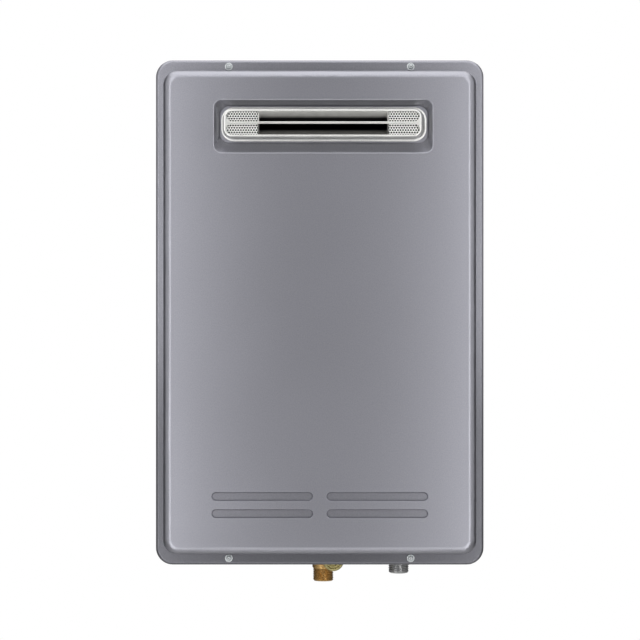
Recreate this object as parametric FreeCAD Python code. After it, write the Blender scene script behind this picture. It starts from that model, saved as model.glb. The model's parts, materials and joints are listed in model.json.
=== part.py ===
# Wall-hung tankless water heater for outdoor use, built as separate pieces.
# Units are millimetres. +X points right, the front faces -Y and +Z points up.
# The origin is the centre of the four wall holes, on the wall plane y = 0.

import FreeCAD
import Part
import math
import os

# Sheet metal and the planes from the wall to the front
sheet = 1.0
bracket_sheet = 2.0
case_depth = 125.0
gasket_thickness = 3.0
gasket_edge_gap = 0.2
gasket_inner_gap = 0.5
panel_raise = 14.0
recess_depth = 12.0
outlet_proud = 5.0

# Front cover
cover_width = 330.0
cover_height = 508.0
cover_corner = 17.0
cover_lip = 10.0
cover_edge_round = 3.0
flange_side = 7.7
flange_end = 11.2
panel_corner = 14.0
panel_draft = 1.2
panel_round = 8.0
foot_round = 0.6
rim_round = 1.8

# Cover screws
screw_spacing = 183.0
screw_edge = 6.7
screw_radius = 2.0
screw_length = 11.0
screw_head_radius = 3.9
screw_head_height = 2.6
screw_hole_gap = 0.2
nut_height = 3.2
nut_radius = 4.0

# Embossed slots low on the panel
slot_length = 101.8
slot_height = 8.85
slot_gap = 13.2
slot_pitch = 17.2
slot_below_centre = 192.8
slot_depth = 2.4
slot_draft = 1.0
slot_round = 0.4

# Case
case_side_gap = 12.0
case_end_gap = 12.0
case_corner = 8.0
flange_clearance = 1.0

# Wall brackets
bracket_width = 220.0
bracket_reach = 22.0
bracket_overlap = 26.0
bracket_lip = 8.0
wall_hole_spacing_x = 180.0
wall_hole_reach = 12.0
wall_hole_radius = 4.0
rivet_radius = 2.4
rivet_head_radius = 4.5
rivet_head_height = 1.4
rivet_spacing = 60.0
rivet_inset = 9.0

# Exhaust recess, outlet frame, screens and throat
recess_x = 3.5
recess_below_top = 67.85
recess_width = 218.8
recess_height = 53.1
recess_corner = 7.0
floor_width = 208.6
floor_height = 36.6
floor_corner = 9.0
floor_rise = 2.85
outlet_base_width = 206.0
outlet_base_height = 34.0
outlet_side_draft = 3.95
outlet_front_height = 27.5
outlet_shift = 0.75
outlet_corner = 8.0
outlet_round = 1.3
outlet_flare = 2.6
outlet_sheet = 1.0
window_margin = 2.55
upper_window_height = 10.0
lower_window_height = 10.7
window_bar = 2.4
window_round = 0.8
window_shift = 0.4
screen_sheet = 0.5
screen_setback = 2.5
screen_gap = 0.3
screen_hole_pitch = 2.6
screen_row_pitch = 2.25
screen_hole_radius = 0.75
screen_hole_sides = 6
screen_rows = 4
throat_width = 128.8
throat_height = 11.0
throat_mouth_height = 23.0
throat_wall = 0.8
throat_back = 22.0
throat_flange = 9.0
duct_clearance = 0.3
air_opening_width = 20.0
air_opening_height = 16.0
air_opening_corner = 4.0
air_opening_gap = 2.5
exhaust_gasket_thickness = 2.0

# Heat exchanger, hood and burner
shell_side_gap = 53.0
shell_depth = 80.0
shell_top_below = 104.0
shell_front_gap = 18.0
shell_bracket_width = 16.0
shell_bracket_rise = 60.0
fin_height = 46.0
fin_count = 8
fin_thickness = 1.2
fin_drop = 25.0
tube_radius = 8.0
tube_pitch = 22.0
tube_overhang = 6.0
braze_gap = 0.05
hood_height = 57.0
hood_slope_height = 15.0
hood_front = 9.0
burner_above_bottom = 132.0
burner_height = 98.0
burner_side_step = 4.0
burner_back_step = 4.0
blade_count = 9
blade_end_gap = 10.0
blade_thickness = 9.0
blade_height = 46.0
blade_top_gap = 16.0
manifold_height = 16.0
manifold_depth = 14.0
nozzle_radius = 2.6
nozzle_length = 9.0
electrode_radius = 3.5
electrode_length = 22.0
electrode_spread = 45.0

# Fan
fan_x = -42.0
fan_above_bottom = 77.0
fan_radius = 50.0
fan_width = 38.0
fan_back_gap = 14.0
fan_wall = 1.5
fan_duct_width = 26.0
fan_post_radius = 5.0
fan_post_count = 3
impeller_radius = 41.0
impeller_width = 28.0
impeller_blades = 20
impeller_blade_depth = 8.0
impeller_sheet = 1.0
shaft_radius = 3.0
motor_radius = 20.0
motor_length = 32.0
running_gap = 0.05

# Fittings below the case
fitting_y = 75.0
thread_radius = 10.48
thread_chamfer = 1.2
inlet_x = 3.6
inlet_reach = 34.0
inlet_thread_length = 13.8
inlet_body_radius = 13.0
valve_body_radius = 15.0
valve_body_height = 92.0
water_bore = 8.0
gas_x = 81.3
gas_reach = 26.2
gas_round = 3.0
gas_groove_depth = 0.5
gas_groove_width = 2.2
hot_x = -80.0
hot_reach = 16.0
hot_rise = 26.0
locknut_flange = 5.0
locknut_washer = 1.0
locknut_height = 5.0
collar_radius = 13.5
collar_height = 4.0
fitting_clearance = 0.5
cap_x = 13.9
cap_below = 11.2
cap_radius = 10.7
cap_thickness = 11.0
cap_front = 101.0
cap_ridges = 3
strainer_radius = 5.4
strainer_wall = 0.8
gland_from_side = 25.0
gland_radius = 8.0
gland_reach = 10.0
gland_bore = 4.0

# Flow turbine and water regulator
turbine_radius = 7.0
turbine_height = 12.0
turbine_above_bottom = 36.0
turbine_blades = 4
axle_radius = 1.2
regulator_above_bottom = 70.0
spindle_radius = 3.0
flap_radius = 7.0
flap_thickness = 1.6
regulator_length = 18.0

# Gas valve
valve_width = 46.0
valve_depth = 50.0
valve_height = 81.0
coil_radius = 12.0
coil_length = 28.0
coil_spacing = 26.0
plunger_radius = 4.0
plunger_length = 22.0
poppet_radius = 6.5
poppet_thickness = 2.0
poppet_travel = 3.0

# Pipes
pipe_radius = 7.0
pipe_bend = 14.0
pipe_side_gap = 24.0
gas_pipe_radius = 7.0
pipe_clearance = 4.0

# Control unit and small electrical pieces
control_width = 104.0
control_height = 104.0
control_depth = 36.0
control_wall = 1.5
control_front_gap = 4.0
control_lid = 4.0
control_post_radius = 3.0
control_post_height = 6.5
control_post_inset = 8.0
board_gap = 1.0
board_thickness = 1.6
core_width = 32.0
core_height = 28.0
core_depth = 16.0
relay_width = 14.0
relay_height = 18.0
relay_depth = 12.0
capacitor_radius = 5.0
capacitor_height = 14.0
capacitor_count = 3
small_part_inset = 10.0
transformer_width = 32.0
transformer_height = 42.0
transformer_depth = 36.0
transformer_terminal_radius = 5.0
transformer_terminal_height = 10.0
unit_above_bottom = 8.0
unit_side_gap = 6.0
thermostat_radius = 7.0
thermostat_height = 7.0
thermostat_clip = 3.0
thermostat_below_tubes = 45.0
thermistor_hex = 5.0
thermistor_length = 6.0
thermistor_above_bottom = 16.0
heater_length = 28.0
heater_width = 16.0
heater_depth = 10.0
heater_below_burner_top = 33.0
earth_from_gland = 24.0
earth_behind_gland = 30.0
earth_screw_radius = 4.0
earth_screw_height = 3.0
intake_slots = 9
intake_slot_length = 30.0
intake_slot_width = 4.0
intake_slot_pitch = 12.0
intake_y = 27.0

# Planes worked out from the sizes above
case_back = -bracket_sheet
case_front = case_back - case_depth
cover_seat = case_front - gasket_thickness
flange_face = cover_seat - sheet
panel_face = flange_face - panel_raise
recess_floor = panel_face + recess_depth
outlet_face = panel_face - outlet_proud
case_half_x = cover_width / 2 - case_side_gap
case_half_z = cover_height / 2 - case_end_gap
case_bottom = -case_half_z
fitting_axis_y = -fitting_y
inner_back = case_back - sheet
shell_width = 2 * (case_half_x - shell_side_gap)
gland_x = -case_half_x + gland_from_side
blade_pitch = (shell_width - 2 * blade_end_gap) / blade_count
fan_z = case_bottom + fan_above_bottom
valve_body_z = case_bottom + valve_body_height
regulator_z = case_bottom + regulator_above_bottom
turbine_mid_z = case_bottom + turbine_above_bottom
fitting_top = case_bottom + locknut_height + 2
gas_valve_top = fitting_top + valve_height
hot_top = case_bottom + hot_rise
recess_z = cover_height / 2 - recess_below_top
floor_z = recess_z + floor_rise
floor_x = recess_x + outlet_shift
outlet_front_width = outlet_base_width - 2 * outlet_side_draft
window_width = outlet_front_width - 2 * window_margin


def vec(x, y, z):
    """A point or a direction."""
    return FreeCAD.Vector(x, y, z)


def block(x0, x1, y0, y1, z0, z1):
    """A box between two corners, given in any order."""
    low = vec(min(x0, x1), min(y0, y1), min(z0, z1))
    return Part.makeBox(abs(x1 - x0), abs(y1 - y0), abs(z1 - z0), low)


def rod(start, end, radius):
    """A round bar from one point to another."""
    axis = end.sub(start)
    return Part.makeCylinder(radius, axis.Length, start, axis)


def outline(x, z, width, height, corner, y):
    """A rectangle with round corners in a plane of constant y, as a closed wire."""
    half_w = width / 2
    half_h = height / 2
    r = min(corner, half_w, half_h)
    bend = r * (1 - math.sqrt(0.5))
    corners = [(1, 1), (-1, 1), (-1, -1), (1, -1)]
    arcs = []
    for index, (sx, sz) in enumerate(corners):
        side = vec(x + sx * half_w, y, z + sz * (half_h - r))
        end = vec(x + sx * (half_w - r), y, z + sz * half_h)
        middle = vec(x + sx * (half_w - bend), y, z + sz * (half_h - bend))
        first, last = (side, end) if index % 2 == 0 else (end, side)
        arcs.append((first, middle, last))
    edges = []
    for index, (first, middle, last) in enumerate(arcs):
        edges.append(Part.Arc(first, middle, last).toShape())
        following = arcs[(index + 1) % 4][0]
        if last.sub(following).Length > 1e-6:
            edges.append(Part.LineSegment(last, following).toShape())
    return Part.Wire(edges)


def slab(x, z, width, height, corner, y0, y1):
    """A plate with round corners between two planes of constant y."""
    return Part.Face(outline(x, z, width, height, corner, y0)).extrude(vec(0, y1 - y0, 0))


def taper(base, front):
    """A solid between two outlines, each given as (x, z, width, height, corner, y)."""
    return Part.makeLoft([outline(*base), outline(*front)], True, True)


def edges_at(shape, y):
    """The edges of a shape that lie wholly in a plane of constant y."""
    found = []
    for edge in shape.Edges:
        box = edge.BoundBox
        if abs(box.YMin - y) < 1e-4 and abs(box.YMax - y) < 1e-4:
            found.append(edge)
    return found


def edges_within(shape, y, x, z, width, height):
    """The edges of a shape in a plane of constant y that lie in a rectangle about a point."""
    slack = 0.01
    found = []
    for edge in edges_at(shape, y):
        box = edge.BoundBox
        across = max(box.XMax - x, x - box.XMin)
        up = max(box.ZMax - z, z - box.ZMin)
        if across < width / 2 + slack and up < height / 2 + slack:
            found.append(edge)
    return found


def turned(profile, centre, axis):
    """A solid of revolution from (radius, height) points along an axis through a point."""
    points = [vec(radius, 0, height) for radius, height in profile]
    face = Part.Face(Part.makePolygon(points + [points[0]]))
    solid = face.revolve(vec(0, 0, 0), vec(0, 0, 1), 360)
    turn = FreeCAD.Rotation(vec(0, 0, 1), axis)
    solid.Placement = FreeCAD.Placement(centre, turn)
    return solid


def hexagon_bar(start, end, radius):
    """A hexagonal bar from one point to another, with its corners at the radius."""
    axis = end.sub(start)
    points = [vec(radius * math.cos(math.radians(60 * i)), radius * math.sin(math.radians(60 * i)), 0)
              for i in range(7)]
    bar = Part.Face(Part.makePolygon(points)).extrude(vec(0, 0, axis.Length))
    bar.Placement = FreeCAD.Placement(start, FreeCAD.Rotation(vec(0, 0, 1), axis))
    return bar


def pipe(points, bend, radius):
    """A round pipe along straight runs that tangent arcs join."""
    edges = []
    start = points[0]
    for before, corner, after in zip(points, points[1:], points[2:]):
        back = before.sub(corner).normalize()
        ahead = after.sub(corner).normalize()
        half = back.getAngle(ahead) / 2
        reach = bend / math.tan(half)
        centre = back.add(ahead).normalize().multiply(bend / math.sin(half)).add(corner)
        arc_start = corner.add(vec(*back).multiply(reach))
        arc_end = corner.add(vec(*ahead).multiply(reach))
        arc_middle = centre.add(corner.sub(centre).normalize().multiply(bend))
        edges.append(Part.LineSegment(start, arc_start).toShape())
        edges.append(Part.Arc(arc_start, arc_middle, arc_end).toShape())
        start = arc_end
    edges.append(Part.LineSegment(start, points[-1]).toShape())
    section = Part.Wire(Part.makeCircle(radius, points[0], points[1].sub(points[0])))
    return Part.Wire(edges).makePipeShell([section], True, False)


def group(shapes):
    """Separate solids kept as one node."""
    return Part.makeCompound(shapes)


def screw_places():
    """The four cover screws, as (x, z)."""
    z = cover_height / 2 - screw_edge
    return [(sx * screw_spacing / 2, sz * z) for sz in (1, -1) for sx in (-1, 1)]


def screw_holes(y0, y1, radius):
    """Round bars along y at each cover screw, for cutting holes."""
    return [rod(vec(x, y0, z), vec(x, y1, z), radius) for x, z in screw_places()]


# Front cover
def cover_skin(inset):
    """The cover's front surface as a filled solid, or its back surface when drawn in by the sheet."""
    face = flange_face + inset
    flange = slab(0, 0, cover_width - 2 * inset, cover_height - 2 * inset, cover_corner - inset,
                  flange_face + cover_lip, face)
    flange = flange.makeFillet(cover_edge_round - inset, edges_at(flange, face))
    foot_w = cover_width - 2 * flange_side - 2 * inset
    foot_h = cover_height - 2 * flange_end - 2 * inset
    base = (0, 0, foot_w, foot_h, panel_corner - inset, face)
    top = (0, 0, foot_w - 2 * panel_draft, foot_h - 2 * panel_draft, panel_corner - inset,
           panel_face + inset)
    panel = taper(base, top)
    panel = panel.makeFillet(panel_round - inset, edges_at(panel, panel_face + inset))
    skin = flange.fuse(panel)
    skin = skin.makeFillet(foot_round + inset, edges_within(skin, face, 0, 0, foot_w, foot_h))
    skin = skin.cut(recess_pan(inset, panel_face + inset))
    rim = edges_within(skin, panel_face + inset, recess_x, recess_z, recess_width + 2 * sheet,
                       recess_height + 2 * sheet)
    skin = skin.makeFillet(rim_round - inset, rim)
    skin = skin.makeFillet(foot_round + inset, edges_at(skin, recess_floor + inset))
    length = slot_length + 2 * inset
    height = slot_height + 2 * inset
    dents = [taper((x, z, length, height, height, panel_face),
                   (x, z, length - 2 * slot_draft, height - 2 * slot_draft, height,
                    panel_face + slot_depth + inset)) for x, z in slot_places()]
    skin = skin.cut(dents)
    if inset == 0:
        rims = []
        for x, z in slot_places():
            rims += edges_within(skin, panel_face, x, z, slot_length, slot_height)
        skin = skin.makeFillet(slot_round, rims)
    return skin


def slot_places():
    """The centres of the four embossed slots, as (x, z)."""
    x = (slot_gap + slot_length) / 2
    return [(sx * x, -slot_below_centre + sz * slot_pitch / 2) for sz in (1, -1) for sx in (-1, 1)]


def recess_pan(grow, front):
    """The exhaust recess as a solid, grown by a sheet thickness for its outside."""
    base = (recess_x, recess_z, recess_width + 2 * grow, recess_height + 2 * grow,
            recess_corner + grow, front)
    floor = (floor_x, floor_z, floor_width + 2 * grow, floor_height + 2 * grow,
             floor_corner + grow, recess_floor + grow)
    return taper(base, floor)


def throat_section(width_gap, y0, y1):
    """The straight part of the exhaust duct, grown by a gap all round."""
    return slab(recess_x, window_middle_z(), throat_width + 2 * width_gap,
                throat_height + 2 * width_gap, 3, y0, y1)


def front_cover():
    """Pressed steel cover: flange, raised panel, exhaust recess and embossed slots."""
    cover = cover_skin(0).cut(cover_skin(sheet))
    opening = throat_section(throat_wall + duct_clearance, recess_floor - 1, recess_floor + 2 * sheet)
    holes = screw_holes(flange_face - 1, cover_seat + 1, screw_radius + screw_hole_gap)
    return cover.cut(holes + [opening] + air_openings()).removeSplitter()


def air_openings():
    """The openings in the recess floor that let burning air in through the screens."""
    reach = throat_width / 2 + throat_flange + air_opening_gap + air_opening_width / 2
    return [slab(recess_x + side * reach, floor_z, air_opening_width, air_opening_height,
                 air_opening_corner, recess_floor - 1, recess_floor + 2 * sheet) for side in (-1, 1)]


def cover_gasket():
    """Flat seal between the case flange and the cover."""
    reach = cover_edge_round + gasket_edge_gap
    outer = slab(0, 0, cover_width - 2 * reach, cover_height - 2 * reach, cover_corner - reach,
                 case_front, cover_seat)
    inner = slab(0, 0, cover_width - 2 * flange_side + 2 * gasket_inner_gap,
                 cover_height - 2 * flange_end + 2 * gasket_inner_gap, panel_corner, case_front, cover_seat)
    return outer.cut(inner).cut(screw_holes(case_front, cover_seat, screw_radius + 2 * screw_hole_gap))


def cover_screws():
    """Pan-head screws with a cross recess."""
    screws = []
    for x, z in screw_places():
        head = rod(vec(x, flange_face, z), vec(x, flange_face - screw_head_height, z), screw_head_radius)
        head = head.makeFillet(screw_head_height * 0.55, edges_at(head, flange_face - screw_head_height))
        shank = rod(vec(x, flange_face, z), vec(x, flange_face + screw_length, z), screw_radius)
        arm = screw_head_radius * 0.55
        width = screw_head_radius * 0.12
        face = flange_face - screw_head_height
        depth = screw_head_height * 0.6
        cross = block(x - arm, x + arm, face, face + depth, z - width, z + width).fuse(
            block(x - width, x + width, face, face + depth, z - arm, z + arm))
        screws.append(head.fuse(shank).cut(cross))
    return group(screws)


def cover_nuts():
    """Clinch nuts on the back of the case flange."""
    back = case_front + sheet
    nuts = []
    for x, z in screw_places():
        nut = hexagon_bar(vec(x, back, z), vec(x, back + nut_height, z), nut_radius)
        hole = rod(vec(x, back, z), vec(x, back + nut_height, z), screw_radius + running_gap)
        nuts.append(nut.cut(hole))
    return group(nuts)


# Case and brackets
def case_holes():
    """What passes through the case bottom, as (x, y, radius)."""
    grow = fitting_clearance
    return [(inlet_x, fitting_axis_y, inlet_body_radius + grow),
            (gas_x, fitting_axis_y, thread_radius + grow),
            (hot_x, fitting_axis_y, thread_radius + grow),
            (gland_x, fitting_axis_y, gland_radius + grow)]


def rivet_places():
    """The rivets that hold both brackets, as (x, z)."""
    z = case_half_z - rivet_inset
    return [(x * rivet_spacing, sz * z) for sz in (1, -1) for x in (-1, 0, 1)]


def case_tray():
    """The whole case: a welded tray, open to the front, with an outward flange."""
    outer = slab(0, 0, 2 * case_half_x, 2 * case_half_z, case_corner, case_front, case_back)
    inner = slab(0, 0, 2 * (case_half_x - sheet), 2 * (case_half_z - sheet), case_corner - sheet,
                 case_front, inner_back)
    reach = sheet + flange_clearance
    flange = slab(0, 0, cover_width - 2 * reach, cover_height - 2 * reach, cover_corner - reach,
                  case_front, case_front + sheet)
    case = outer.fuse(flange).cut(inner)
    cuts = [rod(vec(x, y, case_bottom - 1), vec(x, y, case_bottom + 2 * sheet), radius)
            for x, y, radius in case_holes()]
    cuts += screw_holes(case_front, case_front + sheet, screw_radius + screw_hole_gap)
    cuts += [rod(vec(x, case_back, z), vec(x, inner_back, z), rivet_radius + running_gap)
             for x, z in rivet_places()]
    return case.cut(cuts)


def case_panel(x_side, z_side):
    """One welded panel of the case: the back (0, 0), a side (-1 or 1, 0), the bottom or the top."""
    tray = case_tray()
    big = cover_height
    if x_side == 0 and z_side == 0:
        return tray.common(block(-big, big, inner_back, 0, -big, big))
    walls = tray.common(block(-big, big, -big, inner_back, -big, big))
    seam = case_half_z - case_corner
    if z_side == 0:
        return walls.common(block(0, x_side * big, -big, 0, -seam, seam)).removeSplitter()
    panel = walls.common(block(-big, big, -big, 0, z_side * seam, z_side * big))
    if z_side < 0:
        panel = panel.cut(intake_cuts())
    return panel.removeSplitter()


def intake_cuts():
    """The air slots in the case bottom, behind the fittings."""
    cuts = []
    for index in range(intake_slots):
        x = (index - (intake_slots - 1) / 2) * intake_slot_pitch
        length = intake_slot_length - intake_slot_width
        front = -intake_y - length / 2
        z0 = case_bottom - sheet
        z1 = case_bottom + 2 * sheet
        slot = block(x - intake_slot_width / 2, x + intake_slot_width / 2, front, front + length, z0, z1)
        ends = [rod(vec(x, y, z0), vec(x, y, z1), intake_slot_width / 2) for y in (front, front + length)]
        cuts.append(slot.fuse(ends))
    return cuts


def wall_bracket(side):
    """Wall bracket: flat plate with a folded lip, side +1 above and -1 below."""
    edge = side * (case_half_z + bracket_reach)
    inner = side * (case_half_z - bracket_overlap)
    plate = slab(0, (edge + inner) / 2, bracket_width, abs(edge - inner), 6, case_back, 0)
    lip = block(-bracket_width / 2 + 6, bracket_width / 2 - 6, -bracket_lip, 0,
                edge - side * bracket_sheet, edge)
    bracket = plate.fuse(lip)
    hole_z = side * (case_half_z + wall_hole_reach)
    cuts = [rod(vec(sx * wall_hole_spacing_x / 2, case_back - 1, hole_z),
                vec(sx * wall_hole_spacing_x / 2, 1, hole_z), wall_hole_radius) for sx in (-1, 1)]
    cuts += [rod(vec(x, case_back, z), vec(x, 0, z), rivet_radius + running_gap)
             for x, z in rivet_places() if z * side > 0]
    return bracket.cut(cuts).removeSplitter()


def bracket_rivets():
    """Blind rivets through the brackets and the case back."""
    rivets = []
    for x, z in rivet_places():
        shank = rod(vec(x, 0, z), vec(x, inner_back, z), rivet_radius)
        head = rod(vec(x, inner_back, z), vec(x, inner_back - rivet_head_height, z), rivet_head_radius)
        rivets.append(shank.fuse(head))
    return group(rivets)


# Exhaust outlet
def outlet_front_z():
    """The height of the middle of the outlet's front face."""
    return floor_z + 0.15


def window_top():
    """The top edge of the upper window."""
    return outlet_front_z() + windows_height() / 2


def windows_height():
    """The height of both windows and the bar between them."""
    return upper_window_height + window_bar + lower_window_height


def window_middle_z():
    """The height midway between the top of the upper window and the foot of the lower one."""
    return outlet_front_z()


def outlet_form(inset, front):
    """The outlet frame's outer form, or its inside when drawn in."""
    drawn = outlet_flare + inset
    base = (floor_x, floor_z, outlet_base_width - 2 * drawn, outlet_base_height - 2 * drawn,
            outlet_corner + 2 - inset, recess_floor)
    top = (recess_x - outlet_shift, outlet_front_z(), outlet_front_width - 2 * inset,
           outlet_front_height - 2 * inset, outlet_corner - inset, front)
    form = taper(base, top)
    return form.makeFillet(max(outlet_round - inset, 0.4), edges_at(form, front))


def window_x():
    """The middle of both windows."""
    return recess_x - window_shift


def windows(y0, y1):
    """The two long windows with round ends."""
    upper_z = window_top() - upper_window_height / 2
    lower_z = window_top() - upper_window_height - window_bar - lower_window_height / 2
    x = window_x()
    return [slab(x, upper_z, window_width, upper_window_height, upper_window_height, y0, y1),
            slab(x, lower_z, window_width, lower_window_height, lower_window_height, y0, y1)]


def exhaust_outlet_frame():
    """Polished pressing with drafted sides, a flared foot and two windows with rolled rims."""
    foot_face = recess_floor - outlet_sheet
    foot = slab(floor_x, floor_z, outlet_base_width, outlet_base_height, outlet_corner + 2 + outlet_flare,
                foot_face, recess_floor)
    frame = outlet_form(0, outlet_face).fuse(foot)
    bend = edges_within(frame, foot_face, floor_x, floor_z, outlet_base_width - outlet_flare,
                        outlet_base_height - outlet_flare)
    frame = frame.makeFillet(outlet_flare - 0.1, bend)
    frame = frame.cut(windows(outlet_face - 1, outlet_face + 2 * outlet_sheet))
    rims = edges_within(frame, outlet_face, window_x(), outlet_front_z(), window_width, windows_height())
    frame = frame.makeFillet(window_round, rims)
    return frame.cut(outlet_form(outlet_sheet, outlet_face + outlet_sheet)).removeSplitter()


def exhaust_screen(side):
    """Perforated sheet behind one end of both windows, side -1 left and +1 right."""
    back = outlet_face + outlet_sheet + screen_setback
    cavity = outlet_form(outlet_sheet + screen_gap, back)
    edge = recess_x + side * (throat_width / 2 + throat_wall + screen_gap)
    outer = recess_x + side * outlet_base_width / 2
    plate = cavity.common(block(edge, outer, back, back + screen_sheet,
                                outlet_front_z() - outlet_base_height, outlet_front_z() + outlet_base_height))
    x = window_x()
    holes = []
    heights = [window_top() - upper_window_height / 2,
               window_top() - upper_window_height - window_bar - lower_window_height / 2]
    for middle in heights:
        for row in range(screen_rows):
            z = middle + (row - (screen_rows - 1) / 2) * screen_row_pitch
            shift = (row % 2) * screen_hole_pitch / 2
            far = window_width / 2 - 1.2 * screen_hole_radius - 2 * abs(row - (screen_rows - 1) / 2)
            near = abs(edge - x) + screen_hole_radius + 0.8
            count = int((far - near - shift) / screen_hole_pitch) + 1
            for column in range(count):
                place = vec(x + side * (near + shift + column * screen_hole_pitch), back - 0.2, z)
                holes.append(perforation(place))
    return plate.cut(holes)


def perforation(place):
    """A small prism that cuts one hole in a screen."""
    step = 360 / screen_hole_sides
    points = [vec(place.x + screen_hole_radius * math.cos(math.radians(step * (i + 0.5))), place.y,
                  place.z + screen_hole_radius * math.sin(math.radians(step * (i + 0.5))))
              for i in range(screen_hole_sides)]
    face = Part.Face(Part.makePolygon(points + [points[0]]))
    return face.extrude(vec(0, screen_sheet + 0.4, 0))


def throat_duct(grow):
    """The exhaust passage: a mouth that narrows to a slot, then runs back level."""
    z = window_middle_z()
    front = outlet_face + 2 * outlet_sheet
    neck = recess_floor - 0.5
    mouth = (recess_x, z, throat_width + 2 * grow, throat_mouth_height + 2 * grow, 2 + grow, front)
    slot = (recess_x, z, throat_width + 2 * grow, throat_height + 2 * grow, 2 + grow, neck)
    level = slab(recess_x, z, throat_width + 2 * grow, throat_height + 2 * grow, 2 + grow, neck, throat_end())
    return taper(mouth, slot).fuse(level)


def throat_end():
    """Where the exhaust duct ends inside the flue hood."""
    return recess_floor + throat_back


def exhaust_throat():
    """Dark steel duct between the hood and the windows, with a flange behind the recess."""
    flange_back = recess_floor + sheet + exhaust_gasket_thickness
    flange = slab(recess_x, window_middle_z(), throat_width + 2 * throat_flange,
                  throat_height + 2 * throat_flange, 4, flange_back, flange_back + sheet)
    return throat_duct(throat_wall).fuse(flange).cut(throat_duct(0)).removeSplitter()


def exhaust_gasket():
    """Seal between the back of the recess and the throat's flange."""
    front = recess_floor + sheet
    back = front + exhaust_gasket_thickness
    pad = slab(recess_x, window_middle_z(), throat_width + 2 * throat_flange,
               throat_height + 2 * throat_flange, 4, front, back)
    return pad.cut(throat_section(throat_wall + duct_clearance, front, back))


# Heat exchanger
def shell_x():
    """The middle of the exchanger, below the exhaust."""
    return recess_x + 0.5


def shell_top():
    """The top edge of the exchanger's shell."""
    return cover_height / 2 - shell_top_below


def shell_front():
    """The front face of the exchanger's shell."""
    return case_front + shell_front_gap


def tube_z():
    """The height of the exchanger tubes."""
    return shell_top() - fin_drop


def tube_ys():
    """The three tube lines from front to back."""
    middle = shell_front() + shell_depth / 2
    return [middle - tube_pitch, middle, middle + tube_pitch]


def tube_end(side):
    """Where the straight tubes end outside the shell."""
    return shell_x() + side * (shell_width / 2 + tube_overhang)


def shell_block(inset, z0, z1):
    """The exchanger's rectangular section, drawn in by a wall."""
    x = shell_x()
    return block(x - shell_width / 2 + inset, x + shell_width / 2 - inset, shell_front() + inset,
                 shell_front() + shell_depth - inset, z0, z1)


def heat_exchanger_shell():
    """Copper chamber, open above and below, that carries the tubes through its sides."""
    low = burner_top()
    shell = shell_block(0, low, shell_top()).cut(shell_block(sheet, low, shell_top()))
    lip = burner_block(-burner_side_step, low, low + sheet).cut(burner_block(sheet, low, low + sheet))
    shell = shell.fuse(lip)
    cuts = [rod(vec(tube_end(-1), y, tube_z()), vec(tube_end(1), y, tube_z()), tube_radius + braze_gap)
            for y in tube_ys()]
    return shell.cut(cuts)


def exchanger_brackets():
    """Two bent straps that hold the exchanger off the back panel."""
    back = shell_front() + shell_depth
    z = shell_top() - shell_bracket_rise
    straps = []
    for side in (-1, 1):
        x = shell_x() + side * shell_width / 3
        x0 = x - shell_bracket_width / 2
        x1 = x + shell_bracket_width / 2
        arm = block(x0, x1, back, inner_back, z, z + bracket_sheet)
        foot = block(x0, x1, inner_back - bracket_sheet, inner_back, z - shell_bracket_width, z)
        tab = block(x0, x1, back, back + bracket_sheet, z, z + shell_bracket_width)
        straps.append(arm.fuse([foot, tab]).removeSplitter())
    return group(straps)


def exchanger_fins():
    """A row of copper fins across the tubes."""
    low = tube_z() - fin_height / 2
    high = tube_z() + fin_height / 2
    span = shell_width - 2 * sheet
    fins = []
    for index in range(fin_count):
        x = shell_x() - span / 2 + span * (index + 0.5) / fin_count
        plate = block(x - fin_thickness / 2, x + fin_thickness / 2, shell_front() + sheet + screen_gap,
                      shell_front() + shell_depth - sheet - screen_gap, low, high)
        cuts = [rod(vec(x - fin_thickness, y, tube_z()), vec(x + fin_thickness, y, tube_z()),
                    tube_radius + braze_gap) for y in tube_ys()]
        fins.append(plate.cut(cuts))
    return group(fins)


def exchanger_tubes():
    """One serpentine: three passes through the fins with return bends outside."""
    front, middle, back = tube_ys()
    left = tube_end(-1)
    right = tube_end(1)
    z = tube_z()
    runs = [Part.LineSegment(vec(right, front, z), vec(left, front, z)),
            Part.Arc(vec(left, front, z), vec(left - tube_pitch / 2, (front + middle) / 2, z),
                     vec(left, middle, z)),
            Part.LineSegment(vec(left, middle, z), vec(right, middle, z)),
            Part.Arc(vec(right, middle, z), vec(right + tube_pitch / 2, (middle + back) / 2, z),
                     vec(right, back, z)),
            Part.LineSegment(vec(right, back, z), vec(left, back, z))]
    path = Part.Wire([run.toShape() for run in runs])
    section = Part.Wire(Part.makeCircle(tube_radius, vec(right, front, z), vec(-1, 0, 0)))
    return path.makePipeShell([section], True, False)


def flue_hood():
    """Hood over the fins that turns the gases forward into the throat."""
    front = throat_end() - hood_front
    back = shell_front() + shell_depth
    low = shell_top()
    high = low + hood_height

    def profile(inset, drop):
        points = [(front + inset, low - drop), (front + inset, high - inset),
                  ((front + back) / 2, high - inset), (back - inset, low + hood_slope_height - inset),
                  (back - inset, low - drop)]
        x0 = shell_x() - shell_width / 2 + inset
        corners = [vec(x0, y, z) for y, z in points]
        face = Part.Face(Part.makePolygon(corners + [corners[0]]))
        return face.extrude(vec(shell_width - 2 * inset, 0, 0))

    hood = profile(0, 0).cut(profile(sheet, 1))
    return hood.cut(throat_section(throat_wall + duct_clearance, front - 1, front + 2 * sheet))


# Burner
def burner_top():
    """The top edge of the burner box, on which the exchanger's shell stands."""
    return burner_low() + burner_height


def burner_low():
    """The floor of the burner box."""
    return case_bottom + burner_above_bottom


def burner_block(inset, z0, z1):
    """The burner box's section, drawn in by a wall."""
    half = shell_width / 2 - burner_side_step
    x = shell_x()
    front = burner_front()
    back = shell_front() + shell_depth + burner_back_step
    return block(x - half + inset, x + half - inset, front + inset, back - inset, z0, z1)


def burner_front():
    """The outer front face of the burner box."""
    return shell_front() + burner_side_step


def fan_y():
    """The front and back planes of the fan housing."""
    back = inner_back - fan_back_gap
    return back - fan_width, back


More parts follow.
